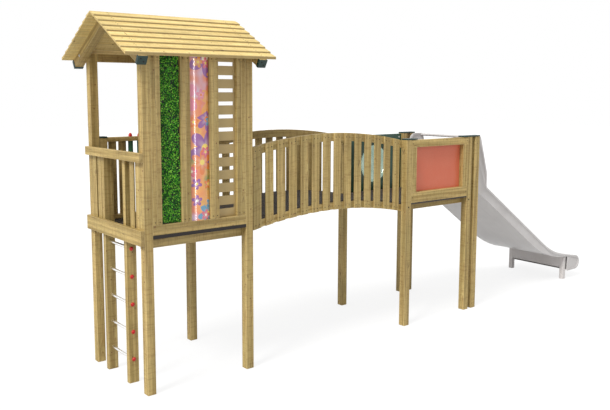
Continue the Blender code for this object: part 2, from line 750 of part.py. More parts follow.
def bridge_stops(start, end, steps=16):
    return [start + (end - start) * step / steps for step in range(steps + 1)]


def bridge_rail_side():
    """The outer face of the bridge's rails, in line with the inner faces of the posts."""
    return POST + GAP


def bridge_panels():
    """Each side: two arched rails, and upright slats that stand between the posts before them."""
    start, end = OUTER + GAP, LOW_START - GAP
    beam_top = DECK_BOTTOM - GAP
    bottom = beam_top - BRIDGE_BEAM_HEIGHT
    rails = (
        (bottom, BRIDGE_BEAM_HEIGHT, start, end),
        (PARAPET_TOP - PARAPET_RAIL_HEIGHT, PARAPET_RAIL_HEIGHT, start - PARAPET_LAP, end + PARAPET_LAP),
    )
    side = bridge_rail_side()
    rail_faces = front_and_back(side, side + BRIDGE_RAIL_THICKNESS)
    slat_faces = front_and_back(side - BRIDGE_SLAT_THICKNESS, side + SHAPE_OFFSET)
    for (face, rail_low, rail_high), (_, slat_low, slat_high) in zip(rail_faces, slat_faces):
        bm = bmesh.new()
        for z, height, first, last in rails:
            band = arched_band(z, height, bridge_stops(first, last))
            prism_into(bm, [band], "y", rail_low, rail_high)
        panel = add_piece(f"bridge_panel_{face}", bm, pine())
        bm = bmesh.new()
        for x in spaced(OUTER, LOW_START, BRIDGE_SLAT_COUNT, BRIDGE_SLAT_WIDTH):
            slat = arched_band(bottom - GAP, PARAPET_TOP - bottom + 2 * GAP, [x, x + BRIDGE_SLAT_WIDTH])
            prism_into(bm, [slat], "y", slat_low, slat_high)
        combine(panel, add_piece(f"bridge_slats_{face}_shape", bm, pine()), "UNION")


def bridge_deck():
    """Arched boards on the lower rails, with a groove where two boards meet."""
    start, end = OUTER + GAP, LOW_START - GAP
    pitch = (end - start) / BRIDGE_BOARD_COUNT
    top = []
    for index in range(BRIDGE_BOARD_COUNT):
        first = start + index * pitch
        last = first + pitch - BRIDGE_GROOVE_WIDTH * (index + 1 < BRIDGE_BOARD_COUNT)
        top += [(x, DECK_TOP + arch(x)) for x in (first, last)]
        if index + 1 < BRIDGE_BOARD_COUNT:
            floor = DECK_TOP - BRIDGE_GROOVE_DEPTH
            top += [(x, floor + arch(x)) for x in (last, first + pitch)]
    under = [(x, DECK_BOTTOM + arch(x)) for x in bridge_stops(start, end)]
    side = bridge_rail_side() + SHAPE_OFFSET + GAP
    prism("bridge_deck", [under + top[::-1]], "y", side, OUTER - side, dark_board())


def low_posts():
    """Single posts at the bridge and pairs at the slide."""
    for face, y_low, y_high in front_and_back(0, POST):
        for name, x in (("bridge", LOW_START), ("inner", LOW_START + BAY), ("outer", TWIN_START)):
            low, high = (x, y_low, 0), (x + POST, y_high, LOW_POST_TOP)
            board(f"low_post_{face}_{name}", low, high, pine())


def low_caps():
    """Flat covers on the low posts; the front ones also cover the frame beside their posts."""
    stile_left = LOW_START + POST + GAP + LOW_FRAME_WIDTH
    stile_right = LOW_START + BAY - GAP - LOW_FRAME_WIDTH
    pair_end = TWIN_START + POST
    covers = (
        ("front_bridge", LOW_START, stile_left, 0),
        ("front_slide", stile_right, pair_end, 0),
        ("back_bridge", LOW_START, LOW_START + POST, BAY),
        ("back_slide", LOW_START + BAY, pair_end, BAY),
    )
    bottom = LOW_POST_TOP + GAP
    for name, start, end, y in covers:
        low = (start - CAP_OVERHANG, y - CAP_OVERHANG, bottom)
        high = (end + CAP_OVERHANG, y + POST + CAP_OVERHANG, bottom + CAP_THICKNESS)
        board(f"low_cap_{name}", low, high, green_plastic())


def low_deck():
    """The deck between the low posts, which runs on to the start of the slide."""
    start, inner = LOW_START, LOW_START + BAY - GAP
    notch = POST + GAP
    end = CHUTE_START - GAP
    outline = [
        (start + notch, 0), (inner, 0), (inner, notch), (end, notch), (end, BAY - GAP),
        (inner, BAY - GAP), (inner, OUTER), (start + notch, OUTER), (start + notch, BAY - GAP),
        (start, BAY - GAP), (start, notch), (start + notch, notch),
    ]
    prism("low_deck", [outline], "z", DECK_BOTTOM, DECK_TOP, dark_board())


def low_opening():
    """The opening of the front frame: left, right, bottom and top."""
    left = LOW_START + POST + GAP + LOW_FRAME_WIDTH
    right = LOW_START + BAY - GAP - LOW_FRAME_WIDTH
    return left, right, DECK_TOP + LOW_FRAME_FOOT, LOW_PANEL_TOP - LOW_FRAME_WIDTH


def coral_panel_frame():
    outline = rectangle(LOW_START + POST + GAP, LOW_START + BAY - GAP, DECK_TOP + GAP, LOW_PANEL_TOP)
    hole = rectangle(*low_opening())
    prism("coral_panel_frame", [outline, hole], "y", 0, LOW_FRAME_DEPTH, pine())


def coral_panel():
    left, right, bottom, top = low_opening()
    low = (left + GAP, COLOUR_PANEL_SETBACK, bottom + GAP)
    high = (right - GAP, COLOUR_PANEL_SETBACK + COLOUR_PANEL_THICKNESS, top - GAP)
    board("coral_panel", low, high, coral_sheet(), eased=False)


def window_circle(radius, steps=2 * ROUND_STEPS):
    x, z = LOW_START + OUTER / 2, DECK_TOP + WINDOW_RISE
    angles = [2 * math.pi * step / steps for step in range(steps)]
    return [(x + radius * math.cos(angle), z + radius * math.sin(angle)) for angle in angles]


def window_panel():
    outline = rectangle(LOW_START + POST + GAP, LOW_START + BAY - GAP, DECK_TOP + GAP, LOW_PANEL_TOP)
    hole = window_circle(WINDOW_RADIUS + WINDOW_CLEARANCE)
    face = BAY + (POST - BACK_PANEL_THICKNESS) / 2
    depth = (face, face + BACK_PANEL_THICKNESS)
    prism("window_panel", [outline, hole], "y", *depth, green_plastic())


def bubble_window():
    """A clear dome that bulges outwards, with a flange on the outer face of its panel."""
    rim = BACK_PANEL_THICKNESS + GAP
    radius = WINDOW_RADIUS
    steps = 7
    swell = [math.pi / 2 * step / steps for step in range(steps + 1)]
    height = WINDOW_DEPTH - WINDOW_THICKNESS
    outer = [(radius * math.cos(a), rim + WINDOW_THICKNESS + height * math.sin(a)) for a in swell]
    inner_radius = radius - WINDOW_THICKNESS
    inner = [(inner_radius * math.cos(a), rim + height * math.sin(a)) for a in swell[1:-1]]
    profile = [(0, outer[-1][1])] + outer[-2::-1]
    profile += [(radius + WINDOW_FLANGE_WIDTH, rim + WINDOW_THICKNESS)]
    profile += [(radius + WINDOW_FLANGE_WIDTH, rim), (radius, rim), (radius, 0), (inner_radius, 0)]
    profile += [(inner_radius, rim)] + inner + [(0, rim + height)]
    place = (LOW_START + OUTER / 2, BAY + (POST - BACK_PANEL_THICKNESS) / 2, DECK_TOP + WINDOW_RISE)
    window = turned("bubble_window", profile, clear_sheet(), place, 2 * ROUND_STEPS)
    window.rotation_euler.x = -math.pi / 2


def chute_underside():
    """The bed's underside, from the deck to where the lip starts."""
    top, foot, lip = chute_corners()
    start = flat(CHUTE_START, top.y)
    return rounded([start, top, foot, lip], [CHUTE_TOP_RADIUS, CHUTE_FOOT_RADIUS])


def chute_rim():
    """The top edge of a side wall: up round the guard, down the slope and round the lip."""
    top = chute_corners()[0]
    start = flat(CHUTE_START + SHAPE_OFFSET, DECK_TOP - CHUTE_SHEET / 2)
    guard_top = DECK_TOP + GUARD_RISE
    front = flat(CHUTE_START + GUARD_LENGTH, guard_top)
    knee = flat(front.x + GUARD_LEAN, DECK_TOP + GUARD_KNEE_RISE)
    slope, exit_slope = math.tan(CHUTE_SLOPE), math.tan(RIM_EXIT_SLOPE)
    on_slope = flat(knee.x, top.y + CHUTE_SIDE_HEIGHT - slope * (knee.x - top.x))
    arc = lip_arc(LIP_RADIUS + RIM_OVER_LIP)
    rise = arc[0].y + exit_slope * arc[0].x
    bend_x = (on_slope.y + slope * on_slope.x - rise) / (slope - exit_slope)
    bend = flat(bend_x, rise - exit_slope * bend_x)
    corners = [start, flat(start.x, guard_top), front, knee, on_slope, bend, arc[0]]
    radii = [GUARD_BACK_RADIUS, GUARD_FRONT_RADIUS, GUARD_KNEE_RADIUS, GUARD_FRONT_RADIUS,
             RIM_FOOT_RADIUS]
    end = flat(lip_centre().x - LIP_RETURN + SHAPE_OFFSET, arc[-1].y)
    return rounded(corners, radii) + arc[1:] + [end]


def grab_bar_into(bm):
    """The round bar between the two guards, near the top of their front edges."""
    inset = GRAB_BAR_RADIUS + RIM_WIDTH / 4
    place = (CHUTE_START + GUARD_LENGTH - inset, MIDDLE, DECK_TOP + GUARD_RISE - inset)
    bmesh.ops.create_cone(
        bm, cap_ends=True, segments=ROUND_STEPS, radius1=GRAB_BAR_RADIUS, radius2=GRAB_BAR_RADIUS,
        depth=OUTER - 2 * SLIDE_SIDE - RIM_WIDTH,
        matrix=Matrix.Translation(place) @ Matrix.Rotation(math.pi / 2, 4, "X"),
    )


def slide_chute():
    """The bed with its rolled lip, two side walls with thicker rims, and the grab bar."""
    underside = chute_underside()
    roll = lip_arc(LIP_RADIUS - CHUTE_SHEET)
    return_end = flat(lip_centre().x - LIP_RETURN, roll[-1].y)
    bed_line = underside[:-1] + roll + [return_end]
    outer_y = OUTER - SLIDE_SIDE
    middle = RIM_WIDTH / 2
    bm = bmesh.new()
    bed = bed_line + beside(bed_line, CHUTE_SHEET)[::-1]
    prism_into(bm, [bed], "y", SLIDE_SIDE + middle, outer_y - middle)
    grab_bar_into(bm)
    chute = add_piece("slide_chute", bm, slide_grey())

    rim = chute_rim()
    below = beside([point for point in underside if point.x < return_end.x], -CHUTE_WALL_DROP)
    exit_z = underside[-1].y + (underside[-1].x - return_end.x) * math.tan(CHUTE_EXIT_SLOPE)
    below += [flat(return_end.x + 2 * SHAPE_OFFSET, exit_z - CHUTE_WALL_DROP)]
    inside = beside(rim, -middle)
    wall = below + inside[::-1]
    wall_low = SLIDE_SIDE + (RIM_WIDTH - CHUTE_WALL) / 2
    bm = bmesh.new()
    for _, y_low, y_high in front_and_back(wall_low, wall_low + CHUTE_WALL):
        prism_into(bm, [wall], "y", y_low, y_high)
    combine(chute, add_piece("chute_walls_shape", bm, slide_grey()), "UNION")

    band = rim + beside(rim, -RIM_WIDTH)[::-1]
    bm = bmesh.new()
    for _, y_low, y_high in front_and_back(SLIDE_SIDE, SLIDE_SIDE + RIM_WIDTH):
        prism_into(bm, [band], "y", y_low, y_high)
    combine(chute, add_piece("chute_rims_shape", bm, slide_grey()), "UNION")


def slide_leg_frame():
    """Two legs and a cross beam that carry the end of the chute."""
    end = lip_centre().x - LIP_RETURN - LEG_SPACE
    _, _, lip = chute_corners()
    top = lip.y + (lip.x - end) * math.tan(CHUTE_EXIT_SLOPE) - GAP
    left = SLIDE_SIDE + RIM_WIDTH + LEG_SPACE
    right = OUTER - left
    outline = [
        (left, 0), (left + LEG_SIZE, 0), (left + LEG_SIZE, LEG_BEAM_BOTTOM),
        (right - LEG_SIZE, LEG_BEAM_BOTTOM), (right - LEG_SIZE, 0), (right, 0),
        (right, top), (left, top),
    ]
    prism("slide_leg_frame", [outline], "x", end - LEG_SIZE, end, slide_grey())


def build_tall_tower():
    tall_posts()
    bearers("tower", ENTRY_SLAT_THICKNESS + GAP, OUTER - GAP, TALL_BEARER_HEIGHT)
    tower_deck()
    entry_boards()
    entry_slats()
    ladder_stringers()
    ladder_rungs()
    wall_frame()
    grass_panel()
    print_column()
    slotted_panel()
    barrier_frame()
    barrier_newel()
    rollers()
    eave_header()
    roof()


def build_low_tower():
    low_posts()
    low_caps()
    bearers("low", LOW_START + GAP, LOW_START + OUTER - GAP, LOW_BEARER_HEIGHT)
    low_deck()
    coral_panel_frame()
    coral_panel()
    window_panel()
    bubble_window()


def build():
    clear_scene()
    build_tall_tower()
    bridge_panels()
    bridge_deck()
    build_low_tower()
    slide_chute()
    slide_leg_frame()


build()
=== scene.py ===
import math
import random

import bmesh
import bpy
from mathutils import Euler, Matrix, Vector


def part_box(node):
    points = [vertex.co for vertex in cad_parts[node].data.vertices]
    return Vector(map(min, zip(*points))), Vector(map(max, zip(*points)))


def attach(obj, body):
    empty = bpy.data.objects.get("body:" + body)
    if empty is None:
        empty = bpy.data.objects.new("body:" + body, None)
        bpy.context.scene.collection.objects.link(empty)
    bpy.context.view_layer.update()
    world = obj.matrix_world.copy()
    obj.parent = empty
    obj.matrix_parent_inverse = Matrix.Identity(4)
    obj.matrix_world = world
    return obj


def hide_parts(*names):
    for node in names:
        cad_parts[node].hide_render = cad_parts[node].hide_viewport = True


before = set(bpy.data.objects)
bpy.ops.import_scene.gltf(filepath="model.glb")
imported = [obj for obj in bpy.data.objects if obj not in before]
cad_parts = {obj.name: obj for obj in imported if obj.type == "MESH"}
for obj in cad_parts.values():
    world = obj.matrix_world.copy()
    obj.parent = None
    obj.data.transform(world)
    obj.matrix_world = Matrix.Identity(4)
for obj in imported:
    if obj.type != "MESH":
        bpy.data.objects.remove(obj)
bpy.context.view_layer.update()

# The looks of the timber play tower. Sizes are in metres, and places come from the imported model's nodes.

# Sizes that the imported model's boxes don't give
PART_GAP = 0.0004  # between boards that touch
BOARD_EASE = 0.003  # rounding along the edges of the timber
ROOF_BOARD_COUNT = 8
ROOF_THIN_EDGE = 0.012
ROOF_THICK_EDGE = 0.026
ROOF_PITCH = math.radians(30.0)
ROOF_SLOPE, ROOF_COSINE, ROOF_SINE = math.tan(ROOF_PITCH), math.cos(ROOF_PITCH), math.sin(ROOF_PITCH)
RAFTER_DEPTH = 0.090
TURF_SINK = 0.018  # from the turf panel's face to the sheet that the blades grow from
TURF_INSET = 0.009
TURF_DENSITY = 12000.0  # blades to a square metre
TURF_BLADE_LENGTH = 0.030
TURF_BLADE_WIDTH = 0.0095
ENTRY_SLAT_WIDTH = 0.090
ENTRY_CLEAT_HEIGHT = 0.040
DECK_BOARD_GAP = 0.0044
TALL_DECK_BOARD_COUNT = 11
LOW_DECK_BOARD_COUNT = 12
BRIDGE_RISE = 0.137
BRIDGE_BEAM_HEIGHT = 0.090
BRIDGE_RAIL_HEIGHT = 0.100
BRIDGE_SLAT_COUNT = 14
BRIDGE_SLAT_WIDTH = 0.110
BRIDGE_SLAT_THICKNESS = 0.018
BRIDGE_BOARD_COUNT = 20
BRIDGE_BOARD_THICKNESS = 0.020
BRIDGE_BOARD_GAP = 0.006
BRIDGE_STEPS = 24  # straight steps that a rail's bend is made of
RUNG_COUNT = 5
RUNG_PITCH = 0.305
RUNG_RADIUS = 0.017
RUNG_CAP_RISE = 0.014
ROLLER_COUNT = 4
ROLLER_LIP = 0.006
SPINDLE_RADIUS = 0.0095
KNOB_RADIUS = 0.023
BARRIER_FOOT_HEIGHT = 0.045
BARRIER_RAIL_HEIGHT = 0.050
BARRIER_SLAT_WIDTH = 0.094
BARRIER_SLAT_THICKNESS = 0.022
WASHER_DEPTH = 0.003  # half of it stands proud
DECK_SCREW_INSET = 0.03
BRIDGE_SCREW_INSET = 0.022
WALL_SCREW_INSET = 0.0296
FRAME_SCREW_INSET = 0.022
PANEL_BOLT_INSET = 0.05
LEG_BEAM_BOTTOM = 0.193  # low enough to hide the hollow of the slide's rolled lip
LEG_BEAM_INSET = 0.004
CHUTE_EXIT_PITCH = math.radians(5.7)


def ends(node_name):
    """The low and the high corner of a node's box."""
    start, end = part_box(node_name)
    return Vector(start), Vector(end)


def low(node_name):
    return ends(node_name)[0]


def high(node_name):
    return ends(node_name)[1]


POST = high("tall_post_front_left").x - low("tall_post_front_left").x
CORNER = low("tall_post_front_left")  # on the ground, at the ladder side
FAR_CORNER = high("tall_post_back_right")
RIDGE_Y = (CORNER.y + FAR_CORNER.y) / 2
DECK = high("tower_deck").z


# Node trees


class Signal:
    """A node's output. Sums and products of signals and numbers add the nodes that work them out."""

    def __init__(self, socket):
        self.socket, self.tree = socket, socket.id_data

    def __add__(self, other):
        return calculate("ADD", self, other)

    def __radd__(self, other):
        return calculate("ADD", other, self)

    def __sub__(self, other):
        return calculate("SUBTRACT", self, other)

    def __rsub__(self, other):
        return calculate("SUBTRACT", other, self)

    def __mul__(self, other):
        return calculate("MULTIPLY", self, other)

    def __truediv__(self, other):
        return calculate("DIVIDE", self, other)

    def __abs__(self):
        return calculate("ABSOLUTE", self)


def feed(made, inputs):
    """Links or fills the named inputs of a node. A colour is given in the screen's 0 to 255 steps."""
    for key, value in inputs.items():
        socket = made.inputs[key]
        if isinstance(value, Signal):
            value.tree.links.new(value.socket, socket)
        else:
            socket.default_value = shade(*value) if socket.type == "RGBA" else value


def node(tree, kind, inputs=None, **settings):
    made = tree.nodes.new(kind)
    for name, value in settings.items():
        setattr(made, name, value)
    feed(made, inputs or {})
    return made


def signal(tree, kind, inputs=None, output=0, **settings):
    """One output of a new node."""
    return Signal(node(tree, kind, inputs, **settings).outputs[output])


def signals(made):
    return {socket.name: Signal(socket) for socket in made.outputs if socket.name}


def tree_of(*values):
    return next(value.tree for value in values if isinstance(value, Signal))


def calculate(operation, *values):
    """Maths on numbers, or on vectors where one of the values is a vector."""
    on_vectors = any(isinstance(value, Signal) and value.socket.type == "VECTOR" for value in values)
    kind = "ShaderNodeVectorMath" if on_vectors else "ShaderNodeMath"
    return signal(tree_of(*values), kind, dict(enumerate(values)), operation=operation)


def fraction(value):
    return calculate("FRACT", value)


def length(x, y):
    return calculate("SQRT", x * x + y * y)


def split(vector):
    parts = node(vector.tree, "ShaderNodeSeparateXYZ", {"Vector": vector}).outputs
    return [Signal(socket) for socket in parts]


def joined(x, y, z):
    return signal(tree_of(x, y, z), "ShaderNodeCombineXYZ", {"X": x, "Y": y, "Z": z})


def between(value, start, end, low_result=0.0, high_result=1.0):
    """The value's smooth passage from start to end, as a mask."""
    inputs = {"Value": value, "From Min": start, "From Max": end, "To Min": low_result, "To Max": high_result}
    return signal(value.tree, "ShaderNodeMapRange", inputs, interpolation_type="SMOOTHSTEP")


def noise(vector, scale=1.0, detail=2.0, roughness=0.5):
    inputs = {"Vector": vector, "Scale": scale, "Detail": detail, "Roughness": roughness}
    return signal(vector.tree, "ShaderNodeTexNoise", inputs)


def cells(vector, scale=1.0, dimensions="3D", feature="F1", randomness=1.0):
    inputs = {"Vector": vector, "Scale": scale, "Randomness": randomness}
    return signals(node(vector.tree, "ShaderNodeTexVoronoi", inputs, voronoi_dimensions=dimensions,
                        feature=feature))


def blend(factor, first, second, how="MIX"):
    """Two colours mixed by a factor."""
    inputs = {0: factor, 6: first, 7: second}
    return signal(tree_of(factor, first, second), "ShaderNodeMix", inputs, 2, data_type="RGBA",
                  blend_type=how)


def tinted(colour, tint):
    return blend(1.0, colour, tint, "MULTIPLY")


def levelled(colour, level):
    return tinted(colour, joined(level, level, level))


def ramp(value, stops, smooth="LINEAR"):
    """A colour that changes with the value through the given stops."""
    made = node(value.tree, "ShaderNodeValToRGB", {"Fac": value})
    made.color_ramp.interpolation = smooth
    points = made.color_ramp.elements
    for (place, colour), point in zip(stops, points):
        point.position, point.color = place, shade(*colour)
    for place, colour in stops[len(points):]:
        points.new(place).color = shade(*colour)
    return Signal(made.outputs[0])


def shade(red, green, blue):
    """A colour from the screen's 0 to 255 steps."""
    steps = [value / 255 for value in (red, green, blue)]
    return (*[v / 12.92 if v <= 0.04045 else ((v + 0.055) / 1.055) ** 2.4 for v in steps], 1.0)


def socket_labels(values):
    """The same values by their sockets' labels, from names such as ring_width."""
    return {key.replace("_", " ").title().replace("Ior", "IOR"): value for key, value in values.items()}


def new_tree(name, kind, inputs, results):
    """A node group: its inputs as signals, and the node that its results go to.

    Each input is given by its default number, or else by the name of its kind.
    """
    tree = bpy.data.node_groups.new(name, kind)
    for label, value in inputs.items():
        kind_name = value if isinstance(value, str) else type(value).__name__.title()
        socket = tree.interface.new_socket(label, in_out="INPUT", socket_type="NodeSocket" + kind_name)
        if not isinstance(value, str):
            socket.default_value = value
    for label in results:
        kind_name = "Geometry" if label == "Geometry" else "Float"
        tree.interface.new_socket(label, in_out="OUTPUT", socket_type="NodeSocket" + kind_name)
    return signals(tree.nodes.new("NodeGroupInput")), tree.nodes.new("NodeGroupOutput")


def use_group(group, place, **inputs):
    made = place.tree.nodes.new("ShaderNodeGroup")
    made.node_tree = group
    feed(made, {"Place": place, **socket_labels(inputs)})
    return signals(made)


# Effects that several finishes share


def make_timber_figure():
    """Rings, fibres, streaks, knots, cracks and saw marks, from a place along, across and through a board."""
    given, result = new_tree(
        "timber figure", "ShaderNodeTree",
        {"Place": "Vector", "Tone": 0.5, "Ring Width": 0.006, "Knot Size": 0.011},
        ("Rings", "Fibres", "Streaks", "Knots", "Cracks", "Saw Marks"))
    place, tone, size = given["Place"], given["Tone"], given["Knot Size"]
    moved = place + joined(tone, tone, tone) * (37.7, 11.3, 5.9)
    x, y, z = split(place)
    moved_x, moved_y, moved_z = split(moved)

    knot_scale = 3.4
    knot_place = joined(moved_x, moved_y + moved_z, 0.0)
    knot_cells = cells(knot_place, knot_scale, "2D")
    away = knot_cells["Distance"] / knot_scale
    seldom = calculate("GREATER_THAN", split(knot_cells["Color"])[0], 0.42)
    knot = between(away, size, size * 0.55)
    near_knot = between(away, size * 4.5, 0.0)

    sway = (noise(moved * (0.9, 5.0, 5.0)) - 0.5) * 0.075
    from_y = y + ((fraction(tone * 13.7) - 0.5) * 0.14 + sway)
    from_z = z + (fraction(tone * 7.3) * 0.09 + 0.03 + x * 0.012)
    radius = length(from_y, from_z) + near_knot * 0.012
    rings = calculate("POWER", fraction(radius / given["Ring Width"]), 2.2)

    line = cells(knot_place * (1.1, 34.0, 1.0), 1.0, "2D", "DISTANCE_TO_EDGE")["Distance"]
    patch = noise(moved * (2.0, 9.0, 9.0), detail=1.0)
    sawn = noise(moved * (62.0, 7.0, 7.0), roughness=0.6)
    feed(result, {
        "Rings": rings,
        "Fibres": noise(moved * (7.0, 240.0, 240.0), 1.0, 3.0, 0.6),
        "Streaks": noise(moved * (0.8, 30.0, 30.0)),
        "Knots": knot * seldom,
        "Cracks": between(line, 0.035, 0.0) * between(patch, 0.56, 0.68),
        "Saw Marks": between(sawn, 0.50, 0.66),
    })
    return place.tree


def make_board_edges():
    """Masks for a board's worn edges and for its cut ends."""
    given, result = new_tree(
        "board edges", "ShaderNodeTree", {"Place": "Vector", "Size": "Vector", "Wear Width": 0.005},
        ("Worn", "Cut End"))
    place = given["Place"]
    a, b, c = split(given["Size"] * (0.5, 0.5, 0.5) - abs(place))
    less, more = calculate("MINIMUM", a, b), calculate("MAXIMUM", a, b)
    second_least = calculate("MAXIMUM", less, calculate("MINIMUM", more, c))
    width = given["Wear Width"] * (noise(place, 60.0) + 0.4)
    feed(result, {"Worn": between(second_least, width, 0.0), "Cut End": between(a, 0.0018, 0.0006)})
    return place.tree


def make_weathering():
    """Soft blotches, fine specks and scuffs, from a place on the object."""
    given, result = new_tree(
        "weathering", "ShaderNodeTree", {"Place": "Vector", "Blotch Scale": 3.0, "Speck Scale": 260.0},
        ("Blotches", "Specks", "Scuffs"))
    place = given["Place"]
    blotches = noise(place, given["Blotch Scale"], 4.0, 0.6)
    specks = noise(place, given["Speck Scale"])
    bent = place + joined(blotches, specks, blotches) * (0.05, 0.004, 0.09)
    lines = cells(bent * (9.0, 55.0, 38.0), feature="DISTANCE_TO_EDGE")["Distance"]
    feed(result, {
        "Blotches": between(blotches, 0.35, 0.7), "Specks": specks, "Scuffs": between(lines, 0.03, 0.0)})
    return place.tree


TIMBER_FIGURE = make_timber_figure()
BOARD_EDGES = make_board_edges()
WEATHERING = make_weathering()


# Finishes


def shader_of(material):
    return material.node_tree.nodes["Principled BSDF"]


def new_finish(name, roughness, **constants):
    """A material, and the place on the object as a signal in the material's tree."""
    material = bpy.data.materials.new(name)
    material.use_nodes = True
    feed(shader_of(material), {"Roughness": roughness, **socket_labels(constants)})
    return material, signal(material.node_tree, "ShaderNodeTexCoord", output="Object")


def weathered(place, blotch_scale, speck_scale=260.0):
    weather = use_group(WEATHERING, place, blotch_scale=blotch_scale, speck_scale=speck_scale)
    return weather["Blotches"], weather["Specks"], weather["Scuffs"]


def board_figure(spot, ring_width=0.006, wear_width=0.005):
    """A board's place along, across and through it, its size and tone, its figure and its edges."""
    place, size = attribute(spot.tree, "grain"), attribute(spot.tree, "size")
    tone = attribute(spot.tree, "tone", "Fac")
    figure = use_group(TIMBER_FIGURE, place, tone=tone, ring_width=ring_width)
    return place, size, tone, figure, use_group(BOARD_EDGES, place, size=size, wear_width=wear_width)


def attribute(tree, name, output="Vector"):
    return signal(tree, "ShaderNodeAttribute", output=output, attribute_name=name)


def lay(material, colour, roughness, height, distance, strength=1.0):
    """Gives a material its colour and roughness, and its relief from a height."""
    inputs = {"Height": height, "Distance": distance, "Strength": strength}
    feed(shader_of(material), {"Base Color": colour, "Roughness": roughness,
                               "Normal": signal(height.tree, "ShaderNodeBump", inputs)})
    return material


def timber_finish(name, light, deep, ring_strength=0.30, layer=0.0, gloss=0.58, sawn=0.34, painted_lap_shade=0.0):
    """Sawn and treated timber: each board has its own figure and tone."""
    material, spot = new_finish(name, gloss)
    place, size, tone, figure, edges = board_figure(spot)
    blotches, _, _ = weathered(spot, 1.7)

    colour = blend(between(figure["Streaks"], 0.30, 0.68), light, deep)
    ring = figure["Rings"] * (1.0 - edges["Cut End"])
    colour = blend(ring * (ring_strength * 2), colour, tinted(colour, (196, 160, 108)))
    colour = levelled(colour, between(figure["Fibres"], 0.32, 0.66, 0.80, 1.10))
    level = 0.90 + tone * 0.17
    colour = tinted(colour, joined(level, level, level * 0.98))
    colour = blend(blotches * 0.22, colour, (142, 136, 80))
    marks = figure["Saw Marks"] * sawn
    colour = blend(marks, colour, tinted(colour, (186, 160, 120)))
    # Painted shade: a dark band along both long sides of each board, for the shadow at the laps between
    # boards.
    if painted_lap_shade:
        from_side = split(size)[1] * 0.5 - abs(split(place)[1])
        colour = blend(between(from_side, 0.0030, 0.0016) * painted_lap_shade, colour, (96, 68, 30))
    colour = blend(figure["Knots"] * 0.85, colour, (112, 72, 40))
    colour = blend(edges["Worn"] * 0.35, colour, (236, 214, 160))
    colour = blend(edges["Cut End"] * 0.45, colour, (140, 112, 66))
    dark = figure["Cracks"] * 0.75
    if layer:
        seam = abs(fraction(split(place)[1] / layer) - 0.5)
        dark = calculate("MAXIMUM", dark, between(seam, 0.022, 0.008) * 0.55)
    colour = blend(dark, colour, (74, 50, 28))
    roughness = gloss - 0.05 + figure["Fibres"] * 0.22 - edges["Worn"] * 0.10
    relief = figure["Rings"] * -0.35 + figure["Fibres"] - dark * 2.2 - marks * 0.8
    return lay(material, colour, roughness, relief, 0.0011, 0.8)


def deck_finish():
    """Dark anti-slip boards with fine ribs along them."""
    material, spot = new_finish("anti-slip deck", 0.62)
    place, _, _, figure, edges = board_figure(spot, 0.008, 0.006)
    blotches, _, _ = weathered(spot, 4.0)
    rib_width = 0.009
    rib = calculate("SINE", split(place)[1] * (2 * math.pi / rib_width))
    colour = blend(figure["Streaks"], (32, 25, 20), (54, 44, 36))
    colour = blend(blotches * 0.25, colour, (80, 70, 60))
    # Painted shade: the grooves between the ribs are darkened.
    colour = blend(between(rib, 0.3, -0.8, 0.0, 0.5), colour, (24, 20, 18))
    colour = blend(edges["Worn"] * 0.5, colour, (120, 104, 88))
    return lay(material, colour, 0.5 + figure["Fibres"] * 0.3, rib + figure["Fibres"] * 0.5, 0.0012)


def moulded_finish(name, colour, worn, roughness=0.42, grain=300.0, metallic=0.0):
    """Moulded or sheet plastic and painted parts: a fine pebbled skin, faded patches and light scuffs."""
    material, spot = new_finish(name, roughness, metallic=metallic)
    blotches, specks, scuffs = weathered(spot, 5.0, grain)
    fading = blotches * 0.22
    faded = levelled(blend(fading, colour, worn), between(specks, 0.3, 0.75, 0.94, 1.05))
    scuff = scuffs * fading
    rough = roughness - 0.06 + specks * 0.16 + scuff * 0.5
    return lay(material, blend(scuff, faded, worn), rough, specks - scuff, 0.0005, 0.6)


def slide_finish():
    """Cast grey plastic: satin, slightly mottled, and polished by use along the bed."""
    material, spot = new_finish("slide plastic", 0.36, coat_weight=0.12, coat_roughness=0.2)
    blotches, specks, _ = weathered(spot, 1.6, 190.0)
    colour = blend(blotches * 0.6, (200, 197, 196), (187, 183, 182))
    run = noise(spot * (1.2, 70.0, 2.0), 1.0, 4.0, 0.6)
    rubbed = between(run, 0.52, 0.72)
    colour = blend(rubbed * 0.25, colour, (172, 168, 168))
    colour = levelled(colour, between(specks, 0.3, 0.75, 0.97, 1.02))
    return lay(material, colour, 0.28 + specks * 0.16 + rubbed * 0.14, specks + run * 0.6, 0.0005, 0.5)


def steel_finish(name, colour, roughness, dull=(150, 150, 150)):
    """Galvanised or stainless steel with dull patches."""
    material, spot = new_finish(name, roughness, metallic=1.0)
    blotches, specks, _ = weathered(spot, 22.0, 420.0)
    colour = blend(blotches * 0.4, colour, dull)
    return lay(material, colour, roughness - 0.1 + specks * 0.3, specks, 0.0002, 0.5)


def turf_finish(name, stops, roughness=0.7):
    """Leaf greens that change from blade to blade, with painted shade darkening them towards the roots."""
    material, spot = new_finish(name, roughness)
    blotches, specks, _ = weathered(spot, 14.0)
    tone = attribute(spot.tree, "tone", "Fac") * 0.86 + blotches * 0.14
    # Painted shade: each blade darkens towards its root, where the blades shade one another.
    colour = levelled(ramp(tone, stops), between(attribute(spot.tree, "rise", "Fac"), 0.0, 0.7, 0.45, 1.1))
    return lay(material, colour, 0.55 + specks * 0.3, specks, 0.0006)


def petals(spot, scale, count, reach, shift):
    """Flowers of rounded petals, one to a cell.

    Gives their mask, the mask of their hearts, the way to the petals' edge and the cells' colours.
    """
    moved = spot + shift
    found = cells(moved, scale, "2D", randomness=0.75)
    x, y, _ = split(moved - found["Position"])
    tint = split(found["Color"])
    angle = calculate("ARCTAN2", y, x) + tint[1] * 6.0
    wave = abs(calculate("COSINE", angle * (count / 2)))
    away = length(x, y)
    share = away / ((wave * 0.55 + 0.45) * reach)
    return between(share, 1.0, 0.92), between(away, reach * 0.24, reach * 0.18), share, tint


